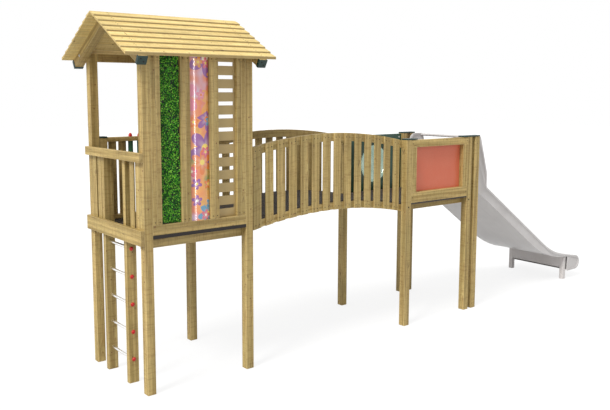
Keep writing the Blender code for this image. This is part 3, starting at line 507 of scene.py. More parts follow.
def print_finish():
    """A glossy printed sheet with large petals, in a layout of its own."""
    material, place = new_finish("printed sheet", 0.16, coat_weight=0.7, coat_roughness=0.06)
    x, _, z = split(place)
    spot = joined(x, z, 0.0)
    colour = ramp(noise(spot, 2.6), [
        (0.30, (80, 150, 130)), (0.42, (216, 180, 204)), (0.50, (232, 128, 92)),
        (0.60, (240, 170, 84)), (0.70, (84, 136, 70))])
    inks = [(0.0, (222, 92, 118)), (0.2, (232, 122, 34)), (0.4, (140, 76, 160)),
            (0.55, (70, 150, 190)), (0.7, (236, 160, 60)), (0.85, (226, 120, 150))]
    hearts = [(0.0, (250, 220, 90)), (0.5, (236, 120, 40)), (0.8, (250, 240, 220))]
    for scale, count, reach, shift in ((2.3, 5, 0.210, (0.4, 0.2, 0.0)), (3.3, 6, 0.140, (3.7, 1.9, 0.0)),
                                       (6.0, 5, 0.065, (1.3, 7.1, 0.0))):
        mask, heart, share, tint = petals(spot, scale, count, reach, shift)
        shown = calculate("GREATER_THAN", tint[1], 0.25)
        ink = ramp(tint[0], inks, "CONSTANT")
        ink = blend(between(share, 0.7, 0.2), ink, blend(0.30, ink, (255, 232, 214)))
        colour = blend(mask * shown * 0.95, colour, ink)
        colour = blend(heart * shown, colour, ramp(tint[2], hearts, "CONSTANT"))
    blotches, specks, _ = weathered(place, 4.0)
    colour = blend(blotches * 0.12, colour, (210, 205, 200))
    return lay(material, colour, 0.12 + specks * 0.1, specks, 0.0002, 0.4)


def clear_finish():
    """Clear moulded plastic with a faint tint and light scratches."""
    material, spot = new_finish("clear dome", 0.05, transmission_weight=0.92, ior=1.49)
    blotches, _, scuffs = weathered(spot, 8.0)
    colour = blend(blotches, (160, 180, 166), (146, 168, 154))
    return lay(material, colour, 0.03 + scuffs * 0.2, blotches, 0.0004, 0.3)


PINE = timber_finish("treated pine", (205, 181, 119), (162, 138, 80))
LAMINATED = timber_finish("laminated pine", (204, 180, 118), (162, 138, 82), layer=0.0475)
GABLE_PINE = timber_finish("gable pine", (204, 178, 118), (164, 140, 84))
# The roof boards carry painted shade along their sides, at the laps.
ROOF_PINE = timber_finish("roof pine", (250, 226, 158), (232, 204, 130), 0.16, gloss=0.62, sawn=0.2,
                          painted_lap_shade=0.62)
DECK_BOARD = deck_finish()
# Near black: the deck boards' dark edge, and painted shadow in the gaps above and below the deck.
DECK_EDGE_AND_SHADOW = moulded_finish("deck edge and painted shadow", (20, 12, 6), (44, 34, 24), 0.7, 200.0)
CAP_PLASTIC = moulded_finish("green plastic", (12, 46, 40), (50, 84, 74))
PANEL_PLASTIC = moulded_finish("green panel", (24, 66, 50), (72, 108, 88), 0.36, 220.0)
TUBE_PLASTIC = moulded_finish("green tube", (26, 88, 58), (96, 138, 104), 0.30)
RED_PLASTIC = moulded_finish("red plastic", (192, 14, 14), (204, 66, 58), 0.30)
CORAL = moulded_finish("coral sheet", (206, 104, 74), (210, 122, 94), 0.40, 240.0)
SLIDE = slide_finish()
LEG_PAINT = moulded_finish("leg paint", (212, 207, 205), (220, 216, 216), 0.45)
STEEL = steel_finish("stainless steel", (222, 222, 220), 0.30)
RUNG_STEEL = steel_finish("polished rung", (254, 254, 254), 0.20, (232, 232, 232))
BOLT_STEEL = steel_finish("galvanised bolt", (206, 206, 204), 0.42)
DARK_SCREW = moulded_finish("dark screw", (34, 32, 28), (96, 92, 84), 0.45, metallic=0.6)
TURF = turf_finish("turf blades", [(0.1, (7, 52, 10)), (0.4, (28, 122, 20)),
                                   (0.65, (89, 190, 37)), (0.9, (172, 236, 87))])
TURF_BASE = turf_finish("turf ground", [(0.2, (7, 30, 8)), (0.7, (17, 58, 15))], 0.9)
PRINT = print_finish()
CLEAR = clear_finish()


# Node trees that make what repeats


def new_growth(name, inputs):
    """A geometry tree with a material: its inputs as signals, and the node for its result."""
    return new_tree(name, "GeometryNodeTree", {"Geometry": "Geometry", **inputs, "Material": "Material"},
                    ["Geometry"])


def named(tree, name):
    return signal(tree, "GeometryNodeInputNamedAttribute", {"Name": name}, data_type="FLOAT_VECTOR")


def keep(geometry, name, value, data_type="FLOAT_VECTOR", domain="POINT"):
    inputs = {"Geometry": geometry, "Name": name, "Value": value}
    return signal(geometry.tree, "GeometryNodeStoreNamedAttribute", inputs, data_type=data_type,
                  domain=domain)


def random_vector(seed, least, most):
    inputs = {0: least, 1: most, "Seed": seed}
    return signal(seed.tree, "FunctionNodeRandomValue", inputs, data_type="FLOAT_VECTOR")


def turned(euler):
    return signal(euler.tree, "FunctionNodeEulerToRotation", {"Euler": euler})


def placed(points, instance, **inputs):
    """Instances on points, with a rotation and a scale where they are given."""
    inputs = {"Points": points, "Instance": instance, **socket_labels(inputs)}
    return signal(points.tree, "GeometryNodeInstanceOnPoints", inputs)


def toned(instances, seed):
    """Instances that each have a tone of their own."""
    tone = signal(seed.tree, "FunctionNodeRandomValue", {2: 0.0, 3: 1.0, "Seed": seed}, 1, data_type="FLOAT")
    return keep(instances, "tone", tone, "FLOAT", "INSTANCE")


def realized(instances):
    return signal(instances.tree, "GeometryNodeRealizeInstances", {"Geometry": instances})


def finish_tree(geometry, given, result):
    inputs = {"Geometry": realized(geometry), "Material": given["Material"]}
    feed(result, {"Geometry": signal(geometry.tree, "GeometryNodeSetMaterial", inputs)})
    return geometry.tree


def make_board_tree():
    """A board on each point, by the point's size and turn, bent over an arch where one is asked for."""
    given, result = new_growth("boards", {
        "Steps Along": 1, "Arch Rise": 0.0, "Arch Middle": 0.0, "Arch Radius": 0.0, "Seed": 1})
    points, radius = given["Geometry"], given["Arch Radius"]
    tree = points.tree
    inputs = {"Size": (1.0, 1.0, 1.0), "Vertices X": given["Steps Along"] + 1.0}
    place = signal(tree, "GeometryNodeInputPosition")
    block = keep(signal(tree, "GeometryNodeMeshCube", inputs), "unit", place, domain="CORNER")
    boards = placed(points, block, rotation=turned(named(tree, "turn")), scale=named(tree, "size"))
    boards = realized(toned(boards, given["Seed"]))
    boards = keep(boards, "grain", named(tree, "unit") * named(tree, "size"), domain="CORNER")
    away = split(place)[0] - given["Arch Middle"]
    drop = radius - calculate("SQRT", radius * radius - away * away)
    inputs = {"Geometry": boards, "Offset": joined(0.0, 0.0, given["Arch Rise"] - drop)}
    return finish_tree(signal(tree, "GeometryNodeSetPosition", inputs), given, result)


def make_row_tree():
    """The given piece, repeated a number of times along a step."""
    given, result = new_growth("row", {"Count": 2, "Step": "Vector", "Seed": 1})
    piece, inputs = given["Geometry"], {"Count": given["Count"], "Offset": given["Step"]}
    line = signal(piece.tree, "GeometryNodeMeshLine", inputs, mode="OFFSET")
    return finish_tree(toned(placed(line, piece), given["Seed"]), given, result)


def make_fastener_tree():
    """A washer and a head on each point, turned to the point's outward direction."""
    given, result = new_growth("fasteners", {
        "Radius": 0.008, "Head Radius": 0.006, "Head Height": 0.004, "Head Sides": 12})
    points, head_radius = given["Geometry"], given["Head Radius"]
    tree = points.tree
    washer = signal(tree, "GeometryNodeMeshCylinder", {
        "Vertices": 16, "Radius": given["Radius"], "Depth": WASHER_DEPTH})
    head = signal(tree, "GeometryNodeMeshCone", {
        "Vertices": given["Head Sides"], "Radius Top": head_radius * 0.72, "Radius Bottom": head_radius,
        "Depth": given["Head Height"]})
    both = node(tree, "GeometryNodeJoinGeometry")
    for part in (washer, head):
        feed(both, {0: part})
    fixings = placed(points, Signal(both.outputs[0]), rotation=turned(named(tree, "turn")))
    return finish_tree(fixings, given, result)


def make_turf_tree():
    """Pointed blades that stand out of the given sheet in all leans."""
    given, result = new_growth("turf", {"Seed": 1})
    sheet, seed = given["Geometry"], given["Seed"]
    tree = sheet.tree
    spread = signals(node(tree, "GeometryNodeDistributePointsOnFaces", {
        "Mesh": sheet, "Density": TURF_DENSITY, "Seed": seed}, distribute_method="RANDOM"))
    blade = signal(tree, "GeometryNodeMeshCone", {
        "Vertices": 3, "Radius Top": 0.0, "Radius Bottom": TURF_BLADE_WIDTH, "Depth": TURF_BLADE_LENGTH,
    }, fill_type="NONE")
    height = split(signal(tree, "GeometryNodeInputPosition"))[2]
    blade = keep(blade, "rise", height / TURF_BLADE_LENGTH, "FLOAT")
    lean = turned(random_vector(seed, (-1.0, -1.0, -3.14), (1.0, 1.0, 3.14)))
    turn = signal(tree, "FunctionNodeRotateRotation", {"Rotation": spread["Rotation"], "Rotate By": lean},
                  rotation_space="LOCAL")
    size = random_vector(seed, (0.5, 0.5, 0.55), (1.0, 1.0, 1.0))
    blades = placed(spread["Points"], blade, rotation=turn, scale=size)
    return finish_tree(toned(blades, seed), given, result)


BOARD_TREE = make_board_tree()
ROW_TREE = make_row_tree()
FASTENER_TREE = make_fastener_tree()
TURF_TREE = make_turf_tree()


# Making pieces


def new_piece(name, data, finish=None):
    if finish:
        data.materials.append(finish)
    piece = bpy.data.objects.new(name, data)
    bpy.context.scene.collection.objects.link(piece)
    return piece


def mesh_from(bm, name):
    mesh = bpy.data.meshes.new(name)
    bm.to_mesh(mesh)
    bm.free()
    return mesh


def grow(piece, tree, **inputs):
    """Adds a node tree with its inputs set by their sockets' identifiers."""
    modifier = piece.modifiers.new("growth", "NODES")
    modifier.node_group = tree
    by_label = {item.name: item.identifier for item in tree.interface.items_tree if item.in_out == "INPUT"}
    for label, value in socket_labels(inputs).items():
        modifier[by_label[label]] = value


def ease(piece, width=BOARD_EASE, segments=2, limit="ANGLE"):
    bevel = piece.modifiers.new("eased edges", "BEVEL")
    bevel.width, bevel.segments, bevel.limit_method = width, segments, limit
    bevel.angle_limit = math.radians(40)


def settle(piece, smooth_angle=None):
    """Makes the modifiers' result the piece's own plain mesh."""
    graph = bpy.context.evaluated_depsgraph_get()
    mesh = bpy.data.meshes.new_from_object(piece.evaluated_get(graph))
    mesh.name = piece.name
    piece.modifiers.clear()
    piece.data = mesh
    if smooth_angle is not None:
        mesh.polygons.foreach_set("use_smooth", [True] * len(mesh.polygons))
        mesh.set_sharp_from_angle(angle=math.radians(smooth_angle))


def dress(piece, nodes=(), body="tower"):
    if nodes:
        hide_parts(*nodes)
    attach(piece, body)


TURNS = {"x": (0.0, 0.0, 0.0), "y": (0.0, 0.0, math.pi / 2), "z": (0.0, -math.pi / 2, 0.0)}


def board(start, end, along):
    """A board between two corners, with its grain along one of the three directions."""
    dx, dy, dz = Vector(end) - Vector(start)
    size = {"x": (dx, dy, dz), "y": (dy, dx, dz), "z": (dz, dy, dx)}[along]
    return (Vector(start) + Vector(end)) / 2, size, TURNS[along]


def part_of(box, along, **spans):
    """A board that fills a box, but for the spans that are given for x, y or z."""
    corners = [Vector(corner) for corner in box]
    for axis, span in spans.items():
        for corner, value in zip(corners, span):
            setattr(corner, axis, value)
    return board(*corners, along)


def spaced(start, end, count, width):
    """The starts of pieces of one width, spread evenly between two places."""
    space = (end - start - count * width) / (count + 1)
    return [start + space + index * (width + space) for index in range(count)]


def points_mesh(name, places, **values):
    """Loose points that carry vectors for a node tree to read."""
    mesh = bpy.data.meshes.new(name)
    mesh.from_pydata([tuple(place) for place in places], [], [])
    for label, rows in values.items():
        layer = mesh.attributes.new(label, "FLOAT_VECTOR", "POINT")
        layer.data.foreach_set("vector", [number for row in rows for number in row])
    return mesh


def timber(name, boards, finish, slot, nodes, width=BOARD_EASE, **growth):
    places, sizes, turns = zip(*boards)
    piece = new_piece(name, points_mesh(name, places, size=sizes, turn=turns))
    grow(piece, BOARD_TREE, material=finish, **growth)
    ease(piece, width)
    settle(piece)
    dress(piece, nodes)


def pine(name, boards, nodes, seed, finish=PINE):
    timber(name, boards, finish, "pine", nodes, seed=seed)


def whole_boards(name, nodes, along, seed, finish=PINE):
    """Boards that each fill a node's box."""
    pine(name, [board(*ends(node_name), along) for node_name in nodes], nodes, seed, finish)


def bar(bm, outline, start, end):
    """The faces of a bar with an outline of (y, z) corners, from x start to x end."""
    rings = [[bm.verts.new((x, y, z)) for y, z in outline] for x in (start, end)]
    faces = [bm.faces.new(rings[0]), bm.faces.new(rings[1][::-1])]
    for index in range(len(outline)):
        after = (index + 1) % len(outline)
        faces.append(bm.faces.new((rings[0][after], rings[0][index], rings[1][index], rings[1][after])))
    bmesh.ops.recalc_face_normals(bm, faces=faces)
    return faces


def lathe_mesh(name, profile, middle, axis, steps):
    """A closed turned shape from (radius, height) pairs, with its axis through middle."""
    bm = bmesh.new()
    turn = {"z": Matrix.Identity(3), "y": Matrix.Rotation(-math.pi / 2, 3, "X")}[axis]
    rings = []
    for radius, height in profile:
        around = 1 if radius == 0 else steps
        angles = [2 * math.pi * index / steps for index in range(around)]
        spots = [Vector((radius * math.cos(a), radius * math.sin(a), height)) for a in angles]
        rings.append([bm.verts.new(Vector(middle) + turn @ spot) for spot in spots])
    for first, second in zip(rings, rings[1:]):
        for index in range(steps):
            after = (index + 1) % steps
            corners = [first[index % len(first)], first[after % len(first)],
                       second[after % len(second)], second[index % len(second)]]
            bm.faces.new(list(dict.fromkeys(corners)))
    bmesh.ops.recalc_face_normals(bm, faces=bm.faces)
    return mesh_from(bm, name)


def turned_piece(name, profile, middle, axis, finish, slot, nodes=(), body="tower", steps=32, **growth):
    piece = new_piece(name, lathe_mesh(name, profile, middle, axis, steps), finish)
    if growth:
        grow(piece, ROW_TREE, material=finish, **growth)
    settle(piece, 35)
    dress(piece, nodes, body)


def dome(radius, base, rise, steps):
    """The profile of a flattened dome, from its rim to its top."""
    angles = [math.pi / 2 * share / steps for share in range(steps)]
    return [(radius * math.cos(a), base + rise * math.sin(a)) for a in angles] + [(0, base + rise)]


def skin(node_name, finish, width=0.0, smooth_angle=30.0):
    """A merged copy of a node's mesh, with eased edges and smooth shading."""
    bm = bmesh.new()
    bm.from_mesh(bpy.data.objects[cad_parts[node_name].name].data)
    bmesh.ops.remove_doubles(bm, verts=bm.verts, dist=0.00002)
    bmesh.ops.dissolve_limit(bm, angle_limit=math.radians(0.5), verts=bm.verts, edges=bm.edges)
    name = node_name + "_skin"
    piece = new_piece(name, mesh_from(bm, name), finish)
    if width:
        ease(piece, width, 3)
    settle(piece, smooth_angle)
    dress(piece, [node_name])


OUTWARD = {"-x": (0.0, -math.pi / 2, 0.0), "+x": (0.0, math.pi / 2, 0.0), "-y": (math.pi / 2, 0.0, 0.0),
           "+y": (-math.pi / 2, 0.0, 0.0), "+z": (0.0, 0.0, 0.0)}


def fasteners(name, spots, finish, radius, head_radius, head_height, **more):
    """Screws or bolts at (place, direction) spots, where a direction is a name or a turn."""
    places = [place for place, _ in spots]
    turns = [OUTWARD[way] if isinstance(way, str) else way for _, way in spots]
    piece = new_piece(name, points_mesh(name, places, turn=turns))
    sizes = {"radius": radius, "head_radius": head_radius, "head_height": head_height, **more}
    grow(piece, FASTENER_TREE, material=finish, **sizes)
    settle(piece, 30)
    dress(piece)


def spots_at(xs, ys, zs, way):
    return [((x, y, z), way) for x in xs for y in ys for z in zs]


# Tall tower


def make_tower_timber():
    """Posts, bearers, beam, handrail, header and newel of the tall tower, and the ladder's sides."""
    posts = [f"tall_post_{face}_{side}" for face in ("front", "back") for side in ("left", "right")]
    whole_boards("tall_posts", posts, "z", 3, LAMINATED)
    whole_boards("tower_bearers", ["tower_bearer_front", "tower_bearer_back"], "x", 5)
    whole_boards("entry_boards", ["entry_beam", "entry_handrail"], "y", 8)
    whole_boards("eave_header", ["eave_header_back"], "x", 2, GABLE_PINE)
    whole_boards("barrier_post", ["barrier_newel"], "z", 4)
    whole_boards("ladder_sides", ["ladder_stringer_front", "ladder_stringer_back"], "z", 9)


def wall_uprights():
    """The (left, right) sides of the front wall's uprights, beside and between its three bays."""
    start, end = ends("wall_frame")
    bays = ("grass_panel", "print_column", "slotted_panel")
    edges = [start.x] + [corner.x for name in bays for corner in ends(name)] + [end.x]
    return list(zip(edges[::2], edges[1::2]))


def make_wall():
    """The front wall's uprights, each of two boards, its two foot rails and its head rail."""
    box = start, end = ends("wall_frame")
    bottom, top = low("grass_panel").z - PART_GAP, high("grass_panel").z + PART_GAP
    middle = (start.z + bottom) / 2
    rails = ((start.z, middle - PART_GAP), (middle + PART_GAP, bottom - PART_GAP), (top + PART_GAP, end.z))
    boards = [part_of(box, "x", z=span) for span in rails]
    for left, right in wall_uprights():
        centre = (left + right) / 2
        for span in ((left, centre - PART_GAP), (centre + PART_GAP, right)):
            boards.append(part_of(box, "z", x=span, z=(bottom, top)))
    pine("wall_boards", boards, ["wall_frame"], 12)


def upright_corners(start, end, y, inset=0.0):
    """The corners of an upright rectangle at one y, in from the sides of a box."""
    left, right, bottom, top = start.x + inset, end.x - inset, start.z + inset, end.z - inset
    return [(left, y, bottom), (right, y, bottom), (right, y, top), (left, y, top)]


def make_turf():
    """An uneven ground sheet, and the blades that stand on it."""
    start, end = ends("grass_panel")
    face = start.y + TURF_SINK
    bm = bmesh.new()
    sheet = bm.faces.new([bm.verts.new(corner) for corner in upright_corners(start, end, face)])
    for item in bmesh.ops.extrude_face_region(bm, geom=[sheet])["geom"]:
        if isinstance(item, bmesh.types.BMVert):
            item.co.y = end.y
    bmesh.ops.recalc_face_normals(bm, faces=bm.faces)
    bmesh.ops.subdivide_edges(bm, edges=bm.edges, cuts=24, use_grid_fill=True)
    seeded = random.Random(5)
    for vert in bm.verts:
        if abs(vert.co.y - face) < 1e-5:
            vert.co.y += seeded.uniform(-0.003, 0.003)
    dress(new_piece("turf_ground", mesh_from(bm, "turf_ground"), TURF_BASE), ["grass_panel"])

    sheet = bpy.data.meshes.new("turf_blades")
    sheet.from_pydata(upright_corners(start, end, face, TURF_INSET), [], [(0, 1, 2, 3)])
    blades = new_piece("turf_blades", sheet)
    grow(blades, TURF_TREE, material=TURF, seed=7)
    settle(blades)
    for vert in blades.data.vertices:
        vert.co.y = max(vert.co.y, start.y)
        vert.co.x = min(max(vert.co.x, start.x), end.x)
        vert.co.z = min(max(vert.co.z, start.z), end.z)
    dress(blades)


def make_entry():
    """Slats and cleats on both sides of the entry."""
    boards, nodes = [], ["entry_slats_front", "entry_slats_back"]
    for box in map(ends, nodes):
        start, end = box
        face = (start.x + end.x) / 2
        for y in (start.y, end.y - ENTRY_SLAT_WIDTH):
            boards.append(part_of(box, "z", x=(start.x, face), y=(y, y + ENTRY_SLAT_WIDTH)))
        for z in (DECK + 0.015, end.z - 0.055):
            boards.append(part_of(box, "y", x=(face, end.x), y=(start.y + 0.003, end.y - 0.003),
                                  z=(z, z + ENTRY_CLEAT_HEIGHT)))
    pine("entry_slats", boards, nodes, 21)


def make_ladder():
    """Steel rungs with domed red ends, repeated up the ladder."""
    names = [f"ladder_rung_{index + 1}" for index in range(RUNG_COUNT)]
    start, end = ends(names[0])
    middle, radius = (start + end) / 2, (end.z - start.z) / 2
    half = (end.y - start.y) / 2 - RUNG_CAP_RISE
    row = {"steps": 28, "count": RUNG_COUNT, "step": (0.0, 0.0, RUNG_PITCH), "seed": 1}
    tube = [(0, -half), (RUNG_RADIUS, -half), (RUNG_RADIUS, half), (0, half)]
    turned_piece("rung_tubes", tube, middle, "y", RUNG_STEEL, "rung_steel", names, **row)
    profile = [(0, half), (radius, half)] + dome(radius, half, RUNG_CAP_RISE, 6)[1:]
    turned_piece("rung_caps_back", profile, middle, "y", RED_PLASTIC, "rung_steel", **row)
    mirrored = [(around, -height) for around, height in profile]
    turned_piece("rung_caps_front", mirrored, middle, "y", RED_PLASTIC, "rung_steel", **row)


def make_roller(name, bottom, top):
    """A roller's tube, spindle and knob, between the barrier's foot and its rail, whose top is given."""
    first, last = ends(name)
    middle = Vector(((first.x + last.x) / 2, (first.y + last.y) / 2, 0))
    radius = (last.x - first.x) / 2
    tube_low, tube_high = bottom + 0.001, top - BARRIER_RAIL_HEIGHT - 0.001
    tube = [(0, tube_low), (radius - ROLLER_LIP, tube_low), (radius, tube_low + ROLLER_LIP),
            (radius, tube_high - ROLLER_LIP), (radius - ROLLER_LIP, tube_high), (0, tube_high)]
    turned_piece(f"{name}_tube", tube, middle, "z", TUBE_PLASTIC, "green_tube", [name], name)
    spindle = [(0, first.z), (SPINDLE_RADIUS, first.z), (SPINDLE_RADIUS, top + 0.004), (0, top + 0.004)]
    turned_piece(f"{name}_spindle", spindle, middle, "z", STEEL, "green_tube", (), name, 20)
    rim = [(0, top + 0.001), (KNOB_RADIUS - 0.002, top + 0.001), (KNOB_RADIUS, top + 0.003)]
    knob = rim + dome(KNOB_RADIUS, top + 0.006, last.z - top - 0.006, 7)
    turned_piece(f"{name}_knob", knob, middle, "z", RED_PLASTIC, "green_tube", (), name)


def make_barrier():
    """The barrier's rails and slats, and the rollers that turn in it."""
    box = start, end = ends("barrier_frame")
    bottom, top = start.z + BARRIER_FOOT_HEIGHT, end.z - BARRIER_RAIL_HEIGHT
    boards = [part_of(box, "x", z=(start.z, bottom)), part_of(box, "x", z=(top, end.z))]
    first, last = low("roller_1").x, high(f"roller_{ROLLER_COUNT}").x
    face = (start.y + end.y - BARRIER_SLAT_THICKNESS) / 2
    for left, right, count in ((start.x, first, 2), (last, end.x, 3)):
        for x in spaced(left, right, count, BARRIER_SLAT_WIDTH):
            boards.append(part_of(box, "z", x=(x, x + BARRIER_SLAT_WIDTH),
                                  y=(face, face + BARRIER_SLAT_THICKNESS), z=(bottom, top)))
    pine("barrier_boards", boards, ["barrier_frame"], 31)
    for index in range(ROLLER_COUNT):
        make_roller(f"roller_{index + 1}", bottom, end.z)


def make_deck(name, first_post_end, last_post_start, count, seed):
    """Deck boards across the bearers, shorter between the posts."""
    box = start, end = ends(name)
    boards = []
    for first, last, short in ((start.x, first_post_end, True), (first_post_end, last_post_start, False),
                               (last_post_start, end.x, True)):
        many = max(1, round(count * (last - first) / (end.x - start.x)))
        step = (last - first) / many
        inset = POST + PART_GAP if short else 0.0
        for index in range(many):
            left = first + index * step + DECK_BOARD_GAP / 2
            boards.append(part_of(box, "y", x=(left, left + step - DECK_BOARD_GAP),
                                  y=(start.y + inset, end.y - inset)))
    timber(name + "_boards", boards, DECK_BOARD, "dark_board", [name], 0.002, seed=seed)


def make_deck_edges(left, right):
    """Dark strips over the ends of the tall deck's boards, between the posts at the front and the back:
    partly the boards' own dark edge, partly painted shadow in the gaps just above and below the deck.
    """
    proud, depth, below, above = 0.0006, 0.0060, 0.030, 0.009
    boards = []
    for y in (low("tower_deck").y - proud, FAR_CORNER.y - depth):
        boards.append(board((left + PART_GAP, y, DECK - below),
                            (right - PART_GAP, y + proud + depth, DECK + above), "x"))
    timber("tower_deck_edges_and_shadow", boards, DECK_EDGE_AND_SHADOW, "dark_board", (), 0.001, seed=47)


def make_decks():
    left, right = CORNER.x + POST, high("tower_deck").x - POST
    make_deck("tower_deck", left, right, TALL_DECK_BOARD_COUNT, 41)
    make_deck_edges(left, right)
    make_deck("low_deck", low("low_post_front_bridge").x + POST, low("low_post_front_inner").x,
              LOW_DECK_BOARD_COUNT, 43)


def make_roof_slope(side, name):
    """One wedge-shaped board, repeated up the slope, with all but its lower edges eased."""
    start, end = ends(name)
    outer = max(abs(start.y - RIDGE_Y), abs(end.y - RIDGE_Y))
    apex = end.z - ROOF_THIN_EDGE / ROOF_COSINE
    step = outer / ROOF_BOARD_COUNT
    inner = outer - step + PART_GAP

    def above(corner):
        """How far a corner is above the slope's underside."""
        return corner.z - (apex - ROOF_SLOPE * abs(corner.y - RIDGE_Y))

    outline = []
    for away, thickness in ((outer, 0), (outer, ROOF_THICK_EDGE), (inner, ROOF_THIN_EDGE), (inner, 0)):
        outline.append((RIDGE_Y + side * away, apex - ROOF_SLOPE * away + thickness / ROOF_COSINE))
    bm = bmesh.new()
    bar(bm, outline, start.x, end.x)
    eased = bm.edges.layers.float.new("bevel_weight_edge")
    for edge in bm.edges:
        edge[eased] = 0.0 if all(abs(above(vert.co)) < 0.001 for vert in edge.verts) else 1.0
    grain, size = bm.loops.layers.float_vector.new("grain"), bm.verts.layers.float_vector.new("size")
    centre_x, centre_y = (start.x + end.x) / 2, RIDGE_Y + side * (outer + inner) / 2
    for face in bm.faces:
        for loop in face.loops:
            spot = loop.vert.co
            loop[grain] = (spot.x - centre_x, (spot.y - centre_y) / ROOF_COSINE,
                           above(spot) - ROOF_THICK_EDGE / 2)
    for vert in bm.verts:
        vert[size] = (end.x - start.x, step / ROOF_COSINE, ROOF_THICK_EDGE)
    piece = new_piece(name + "_boards", mesh_from(bm, name + "_boards"), ROOF_PINE)
    grow(piece, ROW_TREE, count=ROOF_BOARD_COUNT, step=(0.0, -side * step, ROOF_SLOPE * step), seed=50 + side,
         material=ROOF_PINE)
    ease(piece, 0.002, limit="WEIGHT")
    settle(piece)
    dress(piece, [name])


def make_rafters(name, *rafter_tones):
    """A gable's two rafters, with the grain along each."""
    start, end = ends(name)
    reach = end.y - RIDGE_Y
    foot = Vector((reach, end.z - ROOF_SLOPE * reach))
    heel = foot - RAFTER_DEPTH * Vector((ROOF_SINE, ROOF_COSINE))
    peak = end.z - ROOF_SLOPE * PART_GAP
    half = [(PART_GAP, peak), tuple(foot), tuple(heel), (PART_GAP, peak - RAFTER_DEPTH / ROOF_COSINE)]
    bm = bmesh.new()
    for layers, label in ((bm.loops.layers.float_vector, "grain"), (bm.verts.layers.float_vector, "size"),
                          (bm.verts.layers.float, "tone")):
        layers.new(label)
    grain, size = bm.loops.layers.float_vector["grain"], bm.verts.layers.float_vector["size"]
    tones = bm.verts.layers.float["tone"]
    for way, tone in zip((-1, 1), rafter_tones):
        outline = [(RIDGE_Y + way * away, z) for away, z in half]
        along = Vector((way * ROOF_COSINE, -ROOF_SINE)).normalized()
        across = Vector((-along.y, along.x))
        spots = [(Vector(corner).dot(along), Vector(corner).dot(across)) for corner in outline]
        middle = [(min(values) + max(values)) / 2 for values in zip(*spots)]
        extent = [max(values) - min(values) for values in zip(*spots)]
        for face in bar(bm, outline, start.x, end.x):
            for loop in face.loops:
                x, y, z = loop.vert.co
                spot = Vector((y, z))
                loop[grain] = (spot.dot(along) - middle[0], spot.dot(across) - middle[1],
                               x - (start.x + end.x) / 2)
                loop.vert[size] = (*extent, end.x - start.x)
                loop.vert[tones] = tone
    piece = new_piece(name + "_rafters", mesh_from(bm, name + "_rafters"), GABLE_PINE)
    ease(piece)
    settle(piece)
    dress(piece, [name])


def make_roof():
    """Lapped boards on both slopes, the rafters under them and their end caps."""
    make_roof_slope(-1, "roof_slope_front")
    make_roof_slope(1, "roof_slope_back")
    for side, tones in (("left", (0.3, 0.62)), ("right", (0.41, 0.73))):
        make_rafters(f"gable_truss_{side}", *tones)
        for face in ("front", "back"):
            skin(f"rafter_cap_{face}_{side}", CAP_PLASTIC, width=0.0018)


# Bridge


def bridge_arch():
    """The bridge's arc, between the inner faces of the posts it hangs from."""
    start, end = FAR_CORNER.x, low("low_post_front_bridge").x
    half = (end - start) / 2
    radius = (half ** 2 + BRIDGE_RISE ** 2) / (2 * BRIDGE_RISE)
    return {"arch_rise": BRIDGE_RISE, "arch_middle": (start + end) / 2, "arch_radius": radius}


def bridge_slat_starts():
    return spaced(FAR_CORNER.x, low("low_post_front_bridge").x, BRIDGE_SLAT_COUNT, BRIDGE_SLAT_WIDTH)


def make_bridge():
    """Two arched rails on each side with slats before them, and the boards on the lower rails."""
    arch = bridge_arch()
    sides = FAR_CORNER.x + PART_GAP, low("low_post_front_bridge").x - PART_GAP
    deck = deck_start, deck_end = ends("bridge_deck")
    bottom = deck_start.z - BRIDGE_BEAM_HEIGHT - PART_GAP
    for face in ("front", "back"):
        name = f"bridge_panel_{face}"
        box = start, end = ends(name)
        top = end.z - BRIDGE_RISE
        split_y = start.y + BRIDGE_SLAT_THICKNESS if face == "front" else end.y - BRIDGE_SLAT_THICKNESS
        spans = [(start.y, split_y), (split_y, end.y)]
        slat_y, rail_y = spans if face == "front" else spans[::-1]
        rails = [part_of(box, "x", x=sides, y=rail_y, z=(bottom, bottom + BRIDGE_BEAM_HEIGHT)),
                 part_of(box, "x", y=rail_y, z=(top - BRIDGE_RAIL_HEIGHT, top))]
        timber(f"bridge_rails_{face}", rails, PINE, "pine", [name], steps_along=BRIDGE_STEPS,
               seed=60 + len(face), **arch)
        slats = [part_of(box, "z", x=(x, x + BRIDGE_SLAT_WIDTH), y=slat_y, z=(bottom, top))
                 for x in bridge_slat_starts()]
        timber(f"bridge_slats_{face}", slats, PINE, "pine", (), 0.0025, seed=71 + len(face), **arch)
    pitch = (deck_end.x - deck_start.x) / BRIDGE_BOARD_COUNT
    boards = []
    for index in range(BRIDGE_BOARD_COUNT):
        left = deck_start.x + index * pitch + BRIDGE_BOARD_GAP / 2
        boards.append(part_of(deck, "y", x=(left, left + pitch - BRIDGE_BOARD_GAP),
                              z=(deck_start.z, deck_start.z + BRIDGE_BOARD_THICKNESS)))
    timber("bridge_deck_boards", boards, DECK_BOARD, "dark_board", ["bridge_deck"], 0.002, seed=44, **arch)


# Low tower and slide


